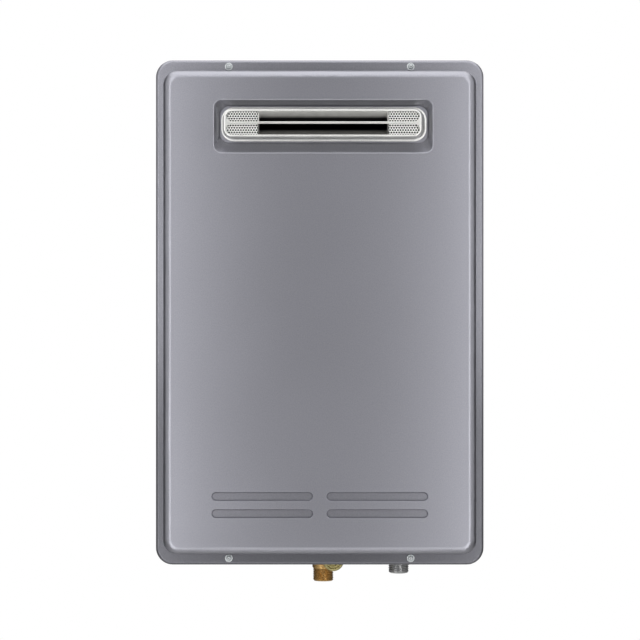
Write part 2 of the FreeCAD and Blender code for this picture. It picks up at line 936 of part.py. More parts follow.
def fan_duct(inset, z0, z1):
    """The fan's discharge, which rises into the burner box."""
    front, back = fan_y()
    right = fan_x + fan_radius
    return block(right - fan_duct_width + inset, right - inset, front + inset, back - inset, z0, z1)


def blade_xs():
    """The middle of each burner blade."""
    return [shell_x() + (i - (blade_count - 1) / 2) * blade_pitch for i in range(blade_count)]


def nozzle_z():
    """The height of the gas nozzles."""
    return burner_top() - blade_top_gap - blade_height + manifold_height / 2


def burner_box():
    """Steel box for the burner blades, open above, with the fan's air let in below."""
    box = burner_block(0, burner_low(), burner_top())
    box = box.cut(burner_block(sheet, burner_low() + sheet, burner_top()))
    front, back = fan_y()
    edge = shell_front() + shell_depth + burner_back_step - 2 * sheet
    duct_back = min(back - fan_wall, edge)
    right = fan_x + fan_radius
    air = block(right - fan_duct_width + fan_wall, right - fan_wall, front + fan_wall, duct_back,
                burner_low() - 1, burner_low() + 2 * sheet)
    cuts = [air]
    cuts += [rod(vec(x, burner_front() - 1, nozzle_z()), vec(x, burner_front() + 2 * sheet, nozzle_z()),
                 nozzle_radius + fitting_clearance) for x in blade_xs()]
    cuts += [rod(vec(x, burner_front() - 1, electrode_z()), vec(x, burner_front() + 2 * sheet, electrode_z()),
                 electrode_radius + running_gap) for x in electrode_xs()]
    return box.cut(cuts)


def burner_blades():
    """Flat burners side by side, each with a rounded flame strip and a slot in its top."""
    top = burner_top() - blade_top_gap
    low = top - blade_height
    front = burner_front() + sheet
    back = shell_front() + shell_depth + burner_back_step - sheet
    margin = (back - front) * 0.05
    blades = []
    for x in blade_xs():
        strip = block(x - blade_thickness / 2, x + blade_thickness / 2, front, back, low, top)
        waist = blade_thickness * 0.22
        cuts = [block(x + s * blade_thickness / 2, x + s * (blade_thickness / 2 - waist), front, back,
                      low + blade_height * 0.3, low + blade_height * 0.7) for s in (-1, 1)]
        slot = block(x - 1, x + 1, front + margin, back - margin, top - 3, top)
        socket = rod(vec(x, front, nozzle_z()), vec(x, front + nozzle_length, nozzle_z()),
                     nozzle_radius + fitting_clearance)
        blades.append(strip.cut(cuts + [slot, socket]))
    return group(blades)


def manifold_front():
    """The front face of the gas manifold."""
    return burner_front() - nozzle_length * 0.5 - manifold_depth


def gas_manifold():
    """Bar that feeds gas to the nozzles."""
    left = blade_xs()[0] - blade_pitch / 2
    right = blade_xs()[-1] + blade_pitch / 2
    back = manifold_front() + manifold_depth
    bar = block(left, right, manifold_front(), back, nozzle_z() - manifold_height / 2,
                nozzle_z() + manifold_height / 2)
    edges = [e for e in bar.Edges if e.BoundBox.XLength > 1]
    return bar.makeChamfer(1.5, edges)


def gas_nozzles():
    """Brass nozzles, one for each burner blade."""
    start = manifold_front() + manifold_depth
    profile = [(0, 0), (nozzle_radius, 0), (nozzle_radius, nozzle_length * 0.6),
               (nozzle_radius * 0.5, nozzle_length), (0, nozzle_length)]
    return group([turned(profile, vec(x, start, nozzle_z()), vec(0, 1, 0)) for x in blade_xs()])


def electrode_z():
    """The height of the ignition electrode and the flame sensor."""
    return burner_top() - blade_top_gap / 2


def electrode_xs():
    """The ignition electrode and then the flame sensor."""
    x = (blade_xs()[3] + blade_xs()[4]) / 2
    return [x - electrode_spread, x + electrode_spread]


def spark_rod(x):
    """A ceramic holder through the burner box's front with a thin rod inside."""
    start = burner_front() - electrode_length * 0.4
    wire = electrode_radius * 0.35
    profile = [(0, 0), (electrode_radius, 0), (electrode_radius, electrode_length * 0.7),
               (wire, electrode_length * 0.75), (wire, electrode_length * 1.5), (0, electrode_length * 1.5)]
    return turned(profile, vec(x, start, electrode_z()), vec(0, 1, 0))


# Fan
def fan_housing():
    """Volute with a round inlet at the back and a discharge that rises on the right."""
    front, back = fan_y()
    z = fan_z
    top = burner_low()
    drum = rod(vec(fan_x, front, z), vec(fan_x, back, z), fan_radius)
    hollow = rod(vec(fan_x, front + fan_wall, z), vec(fan_x, back - fan_wall, z), fan_radius - fan_wall)
    shell = drum.fuse(fan_duct(0, z, top)).cut(hollow).cut(fan_duct(fan_wall, z, top))
    inlet = rod(vec(fan_x, back - 2 * fan_wall, z), vec(fan_x, back + 1, z), impeller_radius * 0.7)
    hole = rod(vec(fan_x, front - 1, z), vec(fan_x, front + 2 * fan_wall, z), 2 * shaft_radius)
    posts = []
    circle = (fan_radius + impeller_radius * 0.7) / 2
    for index in range(fan_post_count):
        angle = math.radians(90 + 360 * index / fan_post_count)
        x = fan_x + circle * math.cos(angle)
        height = z + circle * math.sin(angle)
        posts.append(rod(vec(x, back, height), vec(x, inner_back, height), fan_post_radius))
    return shell.cut(inlet).cut(hole).fuse(posts)


def fan_impeller():
    """Squirrel-cage wheel with its shaft."""
    front, back = fan_y()
    z = fan_z
    start = front + (fan_width - impeller_width) / 2
    plate = rod(vec(fan_x, start, z), vec(fan_x, start + impeller_sheet, z), impeller_radius)
    ring = rod(vec(fan_x, start + impeller_width - impeller_sheet, z), vec(fan_x, start + impeller_width, z),
               impeller_radius)
    ring = ring.cut(rod(vec(fan_x, start, z), vec(fan_x, start + impeller_width + 1, z),
                        impeller_radius - impeller_blade_depth))
    hub = rod(vec(fan_x, start, z), vec(fan_x, start + impeller_width * 0.5, z), 2.5 * shaft_radius)
    shaft = rod(vec(fan_x, front - motor_length * 0.8, z), vec(fan_x, start + impeller_width * 0.6, z),
                shaft_radius)
    wheel = plate.fuse([ring, hub, shaft])
    blade = block(impeller_radius - impeller_blade_depth, impeller_radius - 0.5, start,
                  start + impeller_width, -0.5, 0.5)
    blade.rotate(vec(impeller_radius - impeller_blade_depth, 0, 0), vec(0, 1, 0), 30)
    blades = []
    for index in range(impeller_blades):
        copy = blade.copy()
        copy.rotate(vec(0, 0, 0), vec(0, 1, 0), 360 * index / impeller_blades)
        copy.translate(vec(fan_x, 0, z))
        blades.append(copy)
    return wheel.fuse(blades)


def fan_motor():
    """Round motor on the front of the volute, with the bore for the wheel's shaft."""
    front, back = fan_y()
    z = fan_z
    can = rod(vec(fan_x, front, z), vec(fan_x, front - motor_length, z), motor_radius)
    can = can.makeFillet(2, edges_at(can, front - motor_length))
    bore = rod(vec(fan_x, front, z), vec(fan_x, front - motor_length * 0.85, z), shaft_radius + running_gap)
    return can.cut(bore)


# Cold-water side
def thread_bottom():
    """The lowest point of the cold-water inlet."""
    return case_bottom - inlet_reach


def cap_place():
    """The middle of the strainer cap's seat, on the cap's axis."""
    return vec(cap_x, -cap_front + cap_thickness, case_bottom - cap_below)


def cold_water_inlet():
    """Brass body: threaded end, strainer boss, turbine chamber and regulator bore in one casting."""
    x, y = inlet_x, fitting_axis_y
    low = thread_bottom()
    shoulder = low + inlet_thread_length
    profile = [(0, 0), (thread_radius - thread_chamfer, 0), (thread_radius, thread_chamfer),
               (thread_radius, shoulder - low), (inlet_body_radius, shoulder - low),
               (inlet_body_radius, case_bottom + locknut_height - low),
               (valve_body_radius, case_bottom + locknut_height + 2 - low),
               (valve_body_radius, valve_body_z - 4 - low), (valve_body_radius - 3, valve_body_z - low),
               (0, valve_body_z - low)]
    body = turned(profile, vec(x, y, low), vec(0, 0, 1))
    seat = cap_place()
    boss = rod(vec(seat.x, y, seat.z), seat, cap_radius - 2.2)
    body = body.fuse(boss)
    bore = rod(vec(x, y, low), vec(x, y, valve_body_z - 6), water_bore)
    pocket = rod(vec(seat.x, y, seat.z), seat, strainer_radius + 0.4)
    spindle = rod(vec(x, y, regulator_z), vec(x, y - valve_body_radius - 1, regulator_z),
                  spindle_radius + running_gap)
    return body.cut([bore, pocket, spindle]).removeSplitter()


def strainer_cap():
    """Screw cap with concentric ridges on its face."""
    seat = cap_place()
    step = (cap_radius - 3) / (2 * cap_ridges)
    face = cap_thickness
    profile = [(0, 0), (cap_radius - 1, 0), (cap_radius, 1), (cap_radius, face - 2)]
    radius = cap_radius - 1.2
    for ridge in range(cap_ridges):
        profile += [(radius, face), (radius - step, face), (radius - step * 1.4, face - 1.2),
                    (radius - step * 1.7, face - 1.2)]
        radius -= 2 * step
    profile += [(radius, face - 1.2), (0, face - 1.2)]
    return turned(profile, seat, vec(0, -1, 0))


def strainer():
    """Fine mesh cup behind the cap, shown as a thin closed cup."""
    seat = cap_place()
    depth = -seat.y - fitting_y - 1
    cup = rod(seat, vec(seat.x, seat.y + depth, seat.z), strainer_radius)
    return cup.cut(rod(seat, vec(seat.x, seat.y + depth - strainer_wall, seat.z),
                       strainer_radius - strainer_wall))


def turbine_z():
    """The lower and upper ends of the flow turbine."""
    return turbine_mid_z - turbine_height / 2, turbine_mid_z + turbine_height / 2


def flow_turbine():
    """Small turbine that the incoming water turns, with its axle."""
    low, high = turbine_z()
    x, y = inlet_x, fitting_axis_y
    hub = rod(vec(x, y, low), vec(x, y, high), 2 * axle_radius)
    axle = rod(vec(x, y, low - 3), vec(x, y, high + 3), axle_radius)
    blades = []
    for index in range(turbine_blades):
        blade = block(0, turbine_radius, -0.5, 0.5, low, high)
        blade.rotate(vec(0, 0, (low + high) / 2), vec(1, 0, 0), 25)
        blade = blade.common(Part.makeCylinder(turbine_radius, high - low, vec(0, 0, low)))
        blade.rotate(vec(0, 0, 0), vec(0, 0, 1), 360 * index / turbine_blades)
        blade.translate(vec(x, y, 0))
        blades.append(blade)
    return hub.fuse([axle] + blades).removeSplitter()


def turbine_bearing(end):
    """Spoked disc that carries one end of the turbine's axle, end -1 below and +1 above."""
    low, high = turbine_z()
    x, y = inlet_x, fitting_axis_y
    start = low - 2.5 if end < 0 else high + 0.5
    disc = rod(vec(x, y, start), vec(x, y, start + 2), water_bore - running_gap)
    cuts = [rod(vec(x, y, start - 1), vec(x, y, start + 3), axle_radius + running_gap)]
    for index in range(4):
        angle = math.radians(45 + 90 * index)
        px = x + 4.8 * math.cos(angle)
        py = y + 4.8 * math.sin(angle)
        cuts.append(rod(vec(px, py, start - 1), vec(px, py, start + 3), 2.2))
    return disc.cut(cuts)


def regulator_spindle():
    """Spindle with a flap that throttles the water."""
    x, y = inlet_x, fitting_axis_y
    z = regulator_z
    stem = rod(vec(x, y - flap_radius * 0.8, z), vec(x, y - valve_body_radius - regulator_length * 0.6, z),
               spindle_radius)
    flap = rod(vec(x - flap_thickness / 2, y, z), vec(x + flap_thickness / 2, y, z), flap_radius)
    return stem.fuse(flap).removeSplitter()


def regulator_motor():
    """Stepper motor that turns the regulator's spindle."""
    x, y = inlet_x, fitting_axis_y
    z = regulator_z
    near = y - valve_body_radius
    can = rod(vec(x, near, z), vec(x, near - regulator_length, z), regulator_length * 0.7)
    bore = rod(vec(x, near, z), vec(x, near - regulator_length * 0.65, z), spindle_radius + running_gap)
    relief = rod(vec(x, y, z - regulator_length), vec(x, y, z + regulator_length),
                 valve_body_radius + running_gap)
    return can.cut([bore, relief])


# Hot-water side and gas inlet
def collar(x):
    """The collar of a fitting that seats under the case bottom."""
    return rod(vec(x, fitting_axis_y, case_bottom - collar_height), vec(x, fitting_axis_y, case_bottom),
               collar_radius)


def gas_inlet():
    """Nickel-plated gas fitting with a rounded end and a groove."""
    low = case_bottom - gas_reach
    top = fitting_top
    body = rod(vec(gas_x, fitting_axis_y, low), vec(gas_x, fitting_axis_y, top), thread_radius)
    end = [e for e in body.Edges if abs(e.BoundBox.ZMax - low) < 1e-4]
    body = body.makeFillet(gas_round, end)
    start = low + gas_round + gas_groove_width * 0.6
    ends = (vec(gas_x, fitting_axis_y, start), vec(gas_x, fitting_axis_y, start + gas_groove_width))
    ring = rod(*ends, thread_radius + 1).cut(rod(*ends, thread_radius - gas_groove_depth))
    bore = rod(vec(gas_x, fitting_axis_y, low), vec(gas_x, fitting_axis_y, top), water_bore - 1)
    return body.cut(ring).fuse(collar(gas_x)).cut(bore)


def hot_water_outlet():
    """Brass outlet fitting, short and hidden behind the cover's lower flange."""
    low = case_bottom - hot_reach
    top = hot_top
    profile = [(0, 0), (thread_radius - thread_chamfer, 0), (thread_radius, thread_chamfer),
               (thread_radius, top - low), (0, top - low)]
    body = turned(profile, vec(hot_x, fitting_axis_y, low), vec(0, 0, 1))
    bore = rod(vec(hot_x, fitting_axis_y, low), vec(hot_x, fitting_axis_y, top - 6), water_bore - 1)
    return body.fuse(collar(hot_x)).cut(bore)


def port_locknuts():
    """Hexagon nuts that hold the fittings to the case bottom."""
    nuts = []
    for x, y, radius in case_holes()[:3]:
        top = case_bottom + sheet + locknut_height - locknut_washer
        hexagon = hexagon_bar(vec(x, y, case_bottom + sheet), vec(x, y, top), radius + locknut_flange)
        nuts.append(hexagon.cut(rod(vec(x, y, case_bottom), vec(x, y, case_bottom + 10),
                                    radius - fitting_clearance + running_gap)))
    return group(nuts)


def cable_gland():
    """Gland for the power cable, with an open bore and no cable."""
    nut = gland_radius + 2
    flange = gland_radius + 3
    profile = [(0, 0), (nut, 0), (nut, gland_reach - 4), (flange, gland_reach - 3),
               (flange, gland_reach), (gland_radius, gland_reach), (gland_radius, gland_reach + 8),
               (0, gland_reach + 8)]
    body = turned(profile, vec(gland_x, fitting_axis_y, case_bottom - gland_reach), vec(0, 0, 1))
    return body.cut(rod(vec(gland_x, fitting_axis_y, case_bottom - gland_reach),
                        vec(gland_x, fitting_axis_y, case_bottom + 10), gland_bore))


# Pipes
def side_x(side):
    """Where a pipe runs up beside the exchanger."""
    return side * (case_half_x - pipe_side_gap)


def cold_pipe():
    """Copper pipe from the inlet body to the front exchanger tube."""
    front = tube_ys()[0]
    level = burner_low() - pipe_radius - pipe_clearance
    return pipe([vec(inlet_x, fitting_axis_y, valve_body_z), vec(inlet_x, fitting_axis_y, level),
                 vec(side_x(1), front, level), vec(side_x(1), front, tube_z()),
                 vec(tube_end(1), front, tube_z())], pipe_bend, pipe_radius)


def hot_pipe():
    """Copper pipe from the rear exchanger tube down to the outlet fitting."""
    back = tube_ys()[2]
    level = hot_top + pipe_bend + 6
    return pipe([vec(tube_end(-1), back, tube_z()), vec(side_x(-1), back, tube_z()),
                 vec(side_x(-1), back, level), vec(hot_x, fitting_axis_y, level),
                 vec(hot_x, fitting_axis_y, hot_top)], pipe_bend, pipe_radius)


# Gas valve
def valve_front():
    """The front face of the gas valve body."""
    return fitting_axis_y - valve_depth / 2


def coil_places():
    """The heights of the two shut-off coils and the modulating coil."""
    middle = fitting_top + valve_height / 2
    return [middle - coil_spacing, middle, middle + coil_spacing]


def poppet_depth():
    """How far the poppet chambers reach into the valve body."""
    return poppet_thickness + poppet_travel + 1


def gas_valve_body():
    """Die-cast gas valve on top of the gas inlet."""
    body = block(gas_x - valve_width / 2, gas_x + valve_width / 2, valve_front(), valve_front() + valve_depth,
                 fitting_top, gas_valve_top)
    edges = [e for e in body.Edges if e.BoundBox.ZLength > 10]
    body = body.makeFillet(4, edges)
    depth = valve_front() + poppet_depth()
    cuts = [rod(vec(gas_x, valve_front(), z), vec(gas_x, depth, z), poppet_radius + 1.5)
            for z in coil_places()]
    return body.cut(cuts)


def gas_valve_coils():
    """Three coils on the front of the valve body."""
    coils = []
    for z in coil_places():
        front = valve_front() - coil_length
        can = rod(vec(gas_x, valve_front(), z), vec(gas_x, front, z), coil_radius)
        bore = rod(vec(gas_x, valve_front(), z), vec(gas_x, front + 2, z), plunger_radius + running_gap)
        coils.append(can.cut(bore))
    return group(coils)


def gas_plunger(index):
    """Sprung iron plunger with the poppet that closes a gas passage."""
    z = coil_places()[index]
    poppet_front = valve_front() + poppet_depth() - 0.2 - poppet_thickness
    stem = rod(vec(gas_x, poppet_front, z), vec(gas_x, poppet_front - plunger_length, z), plunger_radius)
    poppet = rod(vec(gas_x, poppet_front, z), vec(gas_x, poppet_front + poppet_thickness, z), poppet_radius)
    return stem.fuse(poppet).removeSplitter()


def gas_pipe():
    """Steel pipe from the gas valve up to the manifold."""
    y = manifold_front() + manifold_depth / 2
    end_z = nozzle_z() - manifold_height / 2
    level = gas_valve_top + pipe_bend + 1
    return pipe([vec(gas_x, fitting_axis_y, gas_valve_top), vec(gas_x, fitting_axis_y, level),
                 vec(gas_x, y, level), vec(gas_x, y, end_z)], pipe_bend, gas_pipe_radius)


# Control unit and small pieces
def control_left():
    """The left side of the control unit."""
    return -case_half_x + sheet + unit_side_gap


def control_front():
    """The front face of the control unit."""
    return panel_face + sheet + control_front_gap


def unit_low():
    """The height at which the control unit and the transformer start."""
    return case_bottom + sheet + unit_above_bottom


def control_box():
    """Plastic tray that holds the circuit board, open to the front, with tabs to the case side."""
    x0 = control_left()
    x1 = x0 + control_width
    z0 = unit_low()
    z1 = z0 + control_height
    front = control_front() + control_lid
    back = control_front() + control_depth
    box = block(x0, x1, front, back, z0, z1)
    box = box.cut(block(x0 + control_wall, x1 - control_wall, front, back - control_wall, z0 + control_wall,
                        z1 - control_wall))
    inset = control_post_inset
    posts = [rod(vec(x, back - control_wall, z), vec(x, board_back(), z), control_post_radius)
             for x in (x0 + inset, x1 - inset) for z in (z0 + inset, z1 - inset)]
    tabs = [block(-case_half_x + sheet, x0, back - 2 * control_wall, back, z, z + 2 * inset)
            for z in (z0 + inset, z1 - 3 * inset)]
    return box.fuse(posts + tabs)


def board_back():
    """The back face of the circuit board, on the posts of its box."""
    return control_front() + control_depth - control_wall - control_post_height


def control_board():
    """Circuit board with a transformer, relays and capacitors."""
    gap = control_wall + board_gap
    x0 = control_left() + gap
    x1 = control_left() + control_width - gap
    z0 = unit_low() + gap
    z1 = unit_low() + control_height - gap
    face = board_back() - board_thickness
    board = block(x0, x1, face, board_back(), z0, z1)
    step = small_part_inset
    core = block(x0 + step, x0 + step + core_width, face - core_depth, face, z0 + step,
                 z0 + step + core_height)
    relays = []
    for index in range(2):
        x = x1 - step - relay_width - index * (relay_width + step / 2)
        relays.append(block(x, x + relay_width, face - relay_depth, face, z0 + step,
                            z0 + step + relay_height))
    capacitors = []
    for index in range(capacitor_count):
        x = x0 + step + capacitor_radius + index * 3 * capacitor_radius
        z = z1 - step - 2 * capacitor_radius
        capacitors.append(rod(vec(x, face, z), vec(x, face - capacitor_height, z), capacitor_radius))
    return board.fuse([core] + relays + capacitors)


def control_cover():
    """Lid of the control box."""
    x0 = control_left()
    z0 = unit_low()
    lid = block(x0, x0 + control_width, control_front(), control_front() + control_lid, z0,
                z0 + control_height)
    return lid.makeChamfer(control_wall, edges_at(lid, control_front()))


def ignition_transformer():
    """Potted spark transformer on the case's right side."""
    x1 = case_half_x - sheet
    z0 = unit_low()
    y0 = control_front()
    body = block(x1 - transformer_width, x1, y0, y0 + transformer_depth, z0, z0 + transformer_height)
    x = x1 - transformer_width / 2
    y = y0 + transformer_depth / 2
    top = z0 + transformer_height
    return body.fuse(rod(vec(x, y, top), vec(x, y, top + transformer_terminal_height),
                         transformer_terminal_radius))


def pipe_saddle(x, y, z, width, depth, height):
    """A block on the front of an upright pipe, hollowed to sit on it."""
    front = y - pipe_radius - depth
    body = block(x - width / 2, x + width / 2, front, y - pipe_radius / 2, z - height / 2, z + height / 2)
    return body.cut(rod(vec(x, y, z - height), vec(x, y, z + height), pipe_radius + running_gap))


def overheat_thermostat():
    """Disc thermostat clipped to the hot pipe."""
    x = side_x(-1)
    y = tube_ys()[2]
    z = tube_z() - thermostat_below_tubes
    clip = pipe_saddle(x, y, z, 2 * thermostat_radius, thermostat_clip, 2 * thermostat_radius)
    front = y - pipe_radius - thermostat_clip
    return clip.fuse(rod(vec(x, front, z), vec(x, front - thermostat_height, z), thermostat_radius))


def outlet_thermistor():
    """Temperature sensor screwed into the hot-water outlet."""
    z = case_bottom + thermistor_above_bottom
    start = fitting_axis_y - thread_radius
    nut = hexagon_bar(vec(hot_x, start + 2, z), vec(hot_x, start - thermistor_length, z), thermistor_hex)
    stem = rod(vec(hot_x, start - thermistor_length, z), vec(hot_x, start - 2 * thermistor_length, z),
               thermistor_hex / 2)
    fitting = rod(vec(hot_x, fitting_axis_y, z - 2 * thermistor_hex),
                  vec(hot_x, fitting_axis_y, z + 2 * thermistor_hex), thread_radius + running_gap)
    return nut.fuse(stem).cut(fitting)


def frost_heaters():
    """Small heaters clipped to the two water pipes against frost."""
    z = burner_top() - heater_below_burner_top
    front, middle, back = tube_ys()
    return group([pipe_saddle(side_x(1), front, z, heater_width, heater_depth, heater_length),
                  pipe_saddle(side_x(-1), back, z, heater_width, heater_depth, heater_length)])


def earth_screw():
    """Earth screw and washer on the case bottom."""
    x = gland_x + earth_from_gland
    y = fitting_axis_y + earth_behind_gland
    z = case_bottom + sheet
    head = rod(vec(x, y, z), vec(x, y, z + earth_screw_height), earth_screw_radius)
    washer = rod(vec(x, y, z), vec(x, y, z + sheet), earth_screw_radius * 1.4)
    return head.fuse(washer)


NODES = {
    "case_back_panel": lambda: case_panel(0, 0),
    "case_left_side": lambda: case_panel(-1, 0),
    "case_right_side": lambda: case_panel(1, 0),
    "case_top": lambda: case_panel(0, 1),
    "case_bottom": lambda: case_panel(0, -1),
    "front_cover": front_cover,
    "cover_gasket": cover_gasket,
    "cover_screws": cover_screws,
    "cover_nuts": cover_nuts,
    "upper_wall_bracket": lambda: wall_bracket(1),
    "lower_wall_bracket": lambda: wall_bracket(-1),
    "bracket_rivets": bracket_rivets,
    "exhaust_outlet_frame": exhaust_outlet_frame,
    "exhaust_screen_left": lambda: exhaust_screen(-1),
    "exhaust_screen_right": lambda: exhaust_screen(1),
    "exhaust_gasket": exhaust_gasket,
    "exhaust_throat": exhaust_throat,
    "flue_hood": flue_hood,
    "heat_exchanger_shell": heat_exchanger_shell,
    "exchanger_brackets": exchanger_brackets,
    "exchanger_fins": exchanger_fins,
    "exchanger_tubes": exchanger_tubes,
    "burner_box": burner_box,
    "burner_blades": burner_blades,
    "gas_manifold": gas_manifold,
    "gas_nozzles": gas_nozzles,
    "ignition_electrode": lambda: spark_rod(electrode_xs()[0]),
    "flame_sensor": lambda: spark_rod(electrode_xs()[1]),
    "fan_housing": fan_housing,
    "fan_motor": fan_motor,
    "fan_impeller": fan_impeller,
    "cold_water_inlet": cold_water_inlet,
    "strainer_cap": strainer_cap,
    "strainer": strainer,
    "flow_turbine": flow_turbine,
    "lower_turbine_bearing": lambda: turbine_bearing(-1),
    "upper_turbine_bearing": lambda: turbine_bearing(1),
    "regulator_spindle": regulator_spindle,
    "regulator_motor": regulator_motor,
    "hot_water_outlet": hot_water_outlet,
    "gas_inlet": gas_inlet,
    "port_locknuts": port_locknuts,
    "cable_gland": cable_gland,
    "cold_pipe": cold_pipe,
    "hot_pipe": hot_pipe,
    "gas_pipe": gas_pipe,
    "gas_valve_body": gas_valve_body,
    "gas_valve_coils": gas_valve_coils,
    "first_shutoff_plunger": lambda: gas_plunger(0),
    "second_shutoff_plunger": lambda: gas_plunger(1),
    "modulating_plunger": lambda: gas_plunger(2),
    "control_box": control_box,
    "control_board": control_board,
    "control_cover": control_cover,
    "ignition_transformer": ignition_transformer,
    "overheat_thermostat": overheat_thermostat,
    "outlet_thermistor": outlet_thermistor,
    "frost_heaters": frost_heaters,
    "earth_screw": earth_screw,
}

os.makedirs("parts", exist_ok=True)
for name, make in NODES.items():
    shape = make()
    shape.exportStep(f"parts/{name}.step")
    print(f"{name}: {len(shape.Solids)} solids, {len(shape.Faces)} faces, valid {shape.isValid()}")
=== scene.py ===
# %% [markdown]
# # A wall-hung tankless water heater
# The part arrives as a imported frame: every piece at its real size, in metres, with +X to the right,
# the front facing -Y and +Z up. This lesson gives each piece its finish, adds the small forms that
# only show close up, and puts the part under a plain soft studio light.

# %% The frame
import json
import math
import bmesh
import bpy
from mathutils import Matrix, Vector


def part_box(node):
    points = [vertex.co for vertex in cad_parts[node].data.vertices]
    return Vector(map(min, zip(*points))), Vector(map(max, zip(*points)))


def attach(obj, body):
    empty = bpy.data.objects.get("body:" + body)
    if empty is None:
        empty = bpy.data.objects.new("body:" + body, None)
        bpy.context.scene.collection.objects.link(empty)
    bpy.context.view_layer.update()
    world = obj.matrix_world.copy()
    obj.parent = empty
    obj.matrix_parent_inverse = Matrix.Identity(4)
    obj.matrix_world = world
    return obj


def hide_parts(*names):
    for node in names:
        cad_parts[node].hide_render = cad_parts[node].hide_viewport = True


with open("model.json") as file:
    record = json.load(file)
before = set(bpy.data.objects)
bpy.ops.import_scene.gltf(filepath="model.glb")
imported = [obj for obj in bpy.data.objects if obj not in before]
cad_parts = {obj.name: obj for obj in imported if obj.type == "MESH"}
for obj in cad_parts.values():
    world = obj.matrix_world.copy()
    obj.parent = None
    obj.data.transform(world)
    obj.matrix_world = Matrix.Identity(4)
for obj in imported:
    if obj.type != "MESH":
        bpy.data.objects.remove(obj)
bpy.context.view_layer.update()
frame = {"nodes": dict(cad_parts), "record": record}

MM = 0.001
UNIT = "unit"
nodes = frame["nodes"]

# %% [markdown]
# ## Helpers for every node tree
# A colour is written the way a picture editor shows it, as sRGB hex, and one function turns it into
# the linear numbers that the renderer adds up. A second function adds a node with its settings and
# links, so that a tree reads from top to bottom like a recipe. Two more open and close a material:
# all of them start from the piece's own coordinates in millimetres, so a pattern has its real size.

# %% Colour, node and material helpers
def colour(code):
    """Linear RGBA from an sRGB hex code such as 8f8f97."""
    channels = [int(code[i:i + 2], 16) / 255 for i in (0, 2, 4)]
    linear = [c / 12.92 if c <= 0.04045 else ((c + 0.055) / 1.055) ** 2.4 for c in channels]
    return (*linear, 1.0)


def add(tree, kind, inputs=(), **settings):
    """Add a node, give it its settings, and fill its inputs with values or links."""
    node = tree.nodes.new(kind)
    for name, value in settings.items():
        setattr(node, name, value)
    for key, value in dict(inputs).items():
        if isinstance(value, bpy.types.NodeSocket):
            tree.links.new(value, node.inputs[key])
        else:
            node.inputs[key].default_value = value
    return node


def start_material(name):
    """An empty material with Object coordinates in millimetres."""
    material = bpy.data.materials.new(name)
    material.use_nodes = True
    tree = material.node_tree
    tree.nodes.clear()
    place = add(tree, "ShaderNodeTexCoord").outputs["Object"]
    place = add(tree, "ShaderNodeVectorMath", {0: place, "Scale": 1 / MM}, operation="SCALE").outputs[0]
    return material, tree, place


def finish_material(material, tree, inputs):
    """Close a material with its surface shader."""
    shader = add(tree, "ShaderNodeBsdfPrincipled", inputs)
    add(tree, "ShaderNodeOutputMaterial", {"Surface": shader.outputs[0]})
    return material


print("sRGB 808080 is", round(colour("808080")[0], 3), "in linear light")

# %% [markdown]
# ## The camera
# The photograph looks straight at the front from a little below the middle, with a long lens, so the
# flange and the raised panel keep nearly the same scale. The picture is 640 pixels square, and one
# pixel covers 1.0064 mm in the plane of the flange, which gives the lens for this distance.

# %% Camera
picture_pixels = 640
pixel_size = 1.0064 * MM
camera_distance = 2.3
panel_raise = 14 * MM
flange_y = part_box("front_cover")[0].y + panel_raise
camera_height = -7.6 * MM
camera_side = 0.25 * MM
sensor = 36.0
camera_data = bpy.data.cameras.new("studio_camera")
camera_data.sensor_width = sensor
camera_data.lens = sensor * camera_distance / (picture_pixels * pixel_size)
camera = bpy.data.objects.new("studio_camera", camera_data)
camera.location = (camera_side, flange_y - camera_distance, camera_height)
camera.rotation_euler = (math.radians(90), 0, 0)
bpy.context.scene.collection.objects.link(camera)
bpy.context.scene.camera = camera
bpy.context.scene.view_settings.view_transform = "Standard"
print("camera", [round(v, 4) for v in camera.location], "lens", round(camera_data.lens, 2))

# %% [markdown]
# ## The studio lamps
# A product like this is lit by two tall soft boxes, one each side of the lens, so that satin paint is
# brighter near its edges than in the middle. A box above lights the top and the upper step, a weak
# one from below lifts the fittings, and one behind keeps the back readable. Rectangular area lamps
# stand for them, because their size sets how soft a highlight ends.

# %% Lamps
def soft_box(name, place, aim, width, height, power):
    """A rectangular area lamp that faces a point."""
    data = bpy.data.lights.new(name, "AREA")
    data.shape = "RECTANGLE"
    data.size = width
    data.size_y = height
    data.energy = power
    lamp = bpy.data.objects.new(name, data)
    lamp.location = place
    lamp.rotation_euler = (Vector(aim) - Vector(place)).to_track_quat("-Z", "Y").to_euler()
    bpy.context.scene.collection.objects.link(lamp)
    return lamp


front_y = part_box("front_cover")[0].y
for name, side in (("left_box", -1), ("right_box", 1)):
    soft_box(name, place=(side * 0.35, front_y - 0.6, 0), aim=(side * 0.08, front_y, 0),
             width=0.2, height=1.6, power=4.2)
soft_box("top_box", place=(0, -0.14, 0.78), aim=(0, -0.14, 0.1), width=1.2, height=1.0, power=4.2)
soft_box("low_box", place=(0, -0.75, -0.72), aim=(0, front_y, -0.1), width=0.9, height=0.5, power=0.9)
soft_box("back_box", place=(0, 1.7, 0.5), aim=(0, 0, 0), width=2.2, height=0.9, power=14.0)
print("lamps", [(lamp.name, round(lamp.energy, 1)) for lamp in bpy.data.lights])

# %% [markdown]
# ## The white world
# The background of a catalogue picture is plain white, but a white world would also flood the object
# with light. So the world is white to the camera and to reflections, and weaker as a light: a light
# path node tells which kind of ray asks.

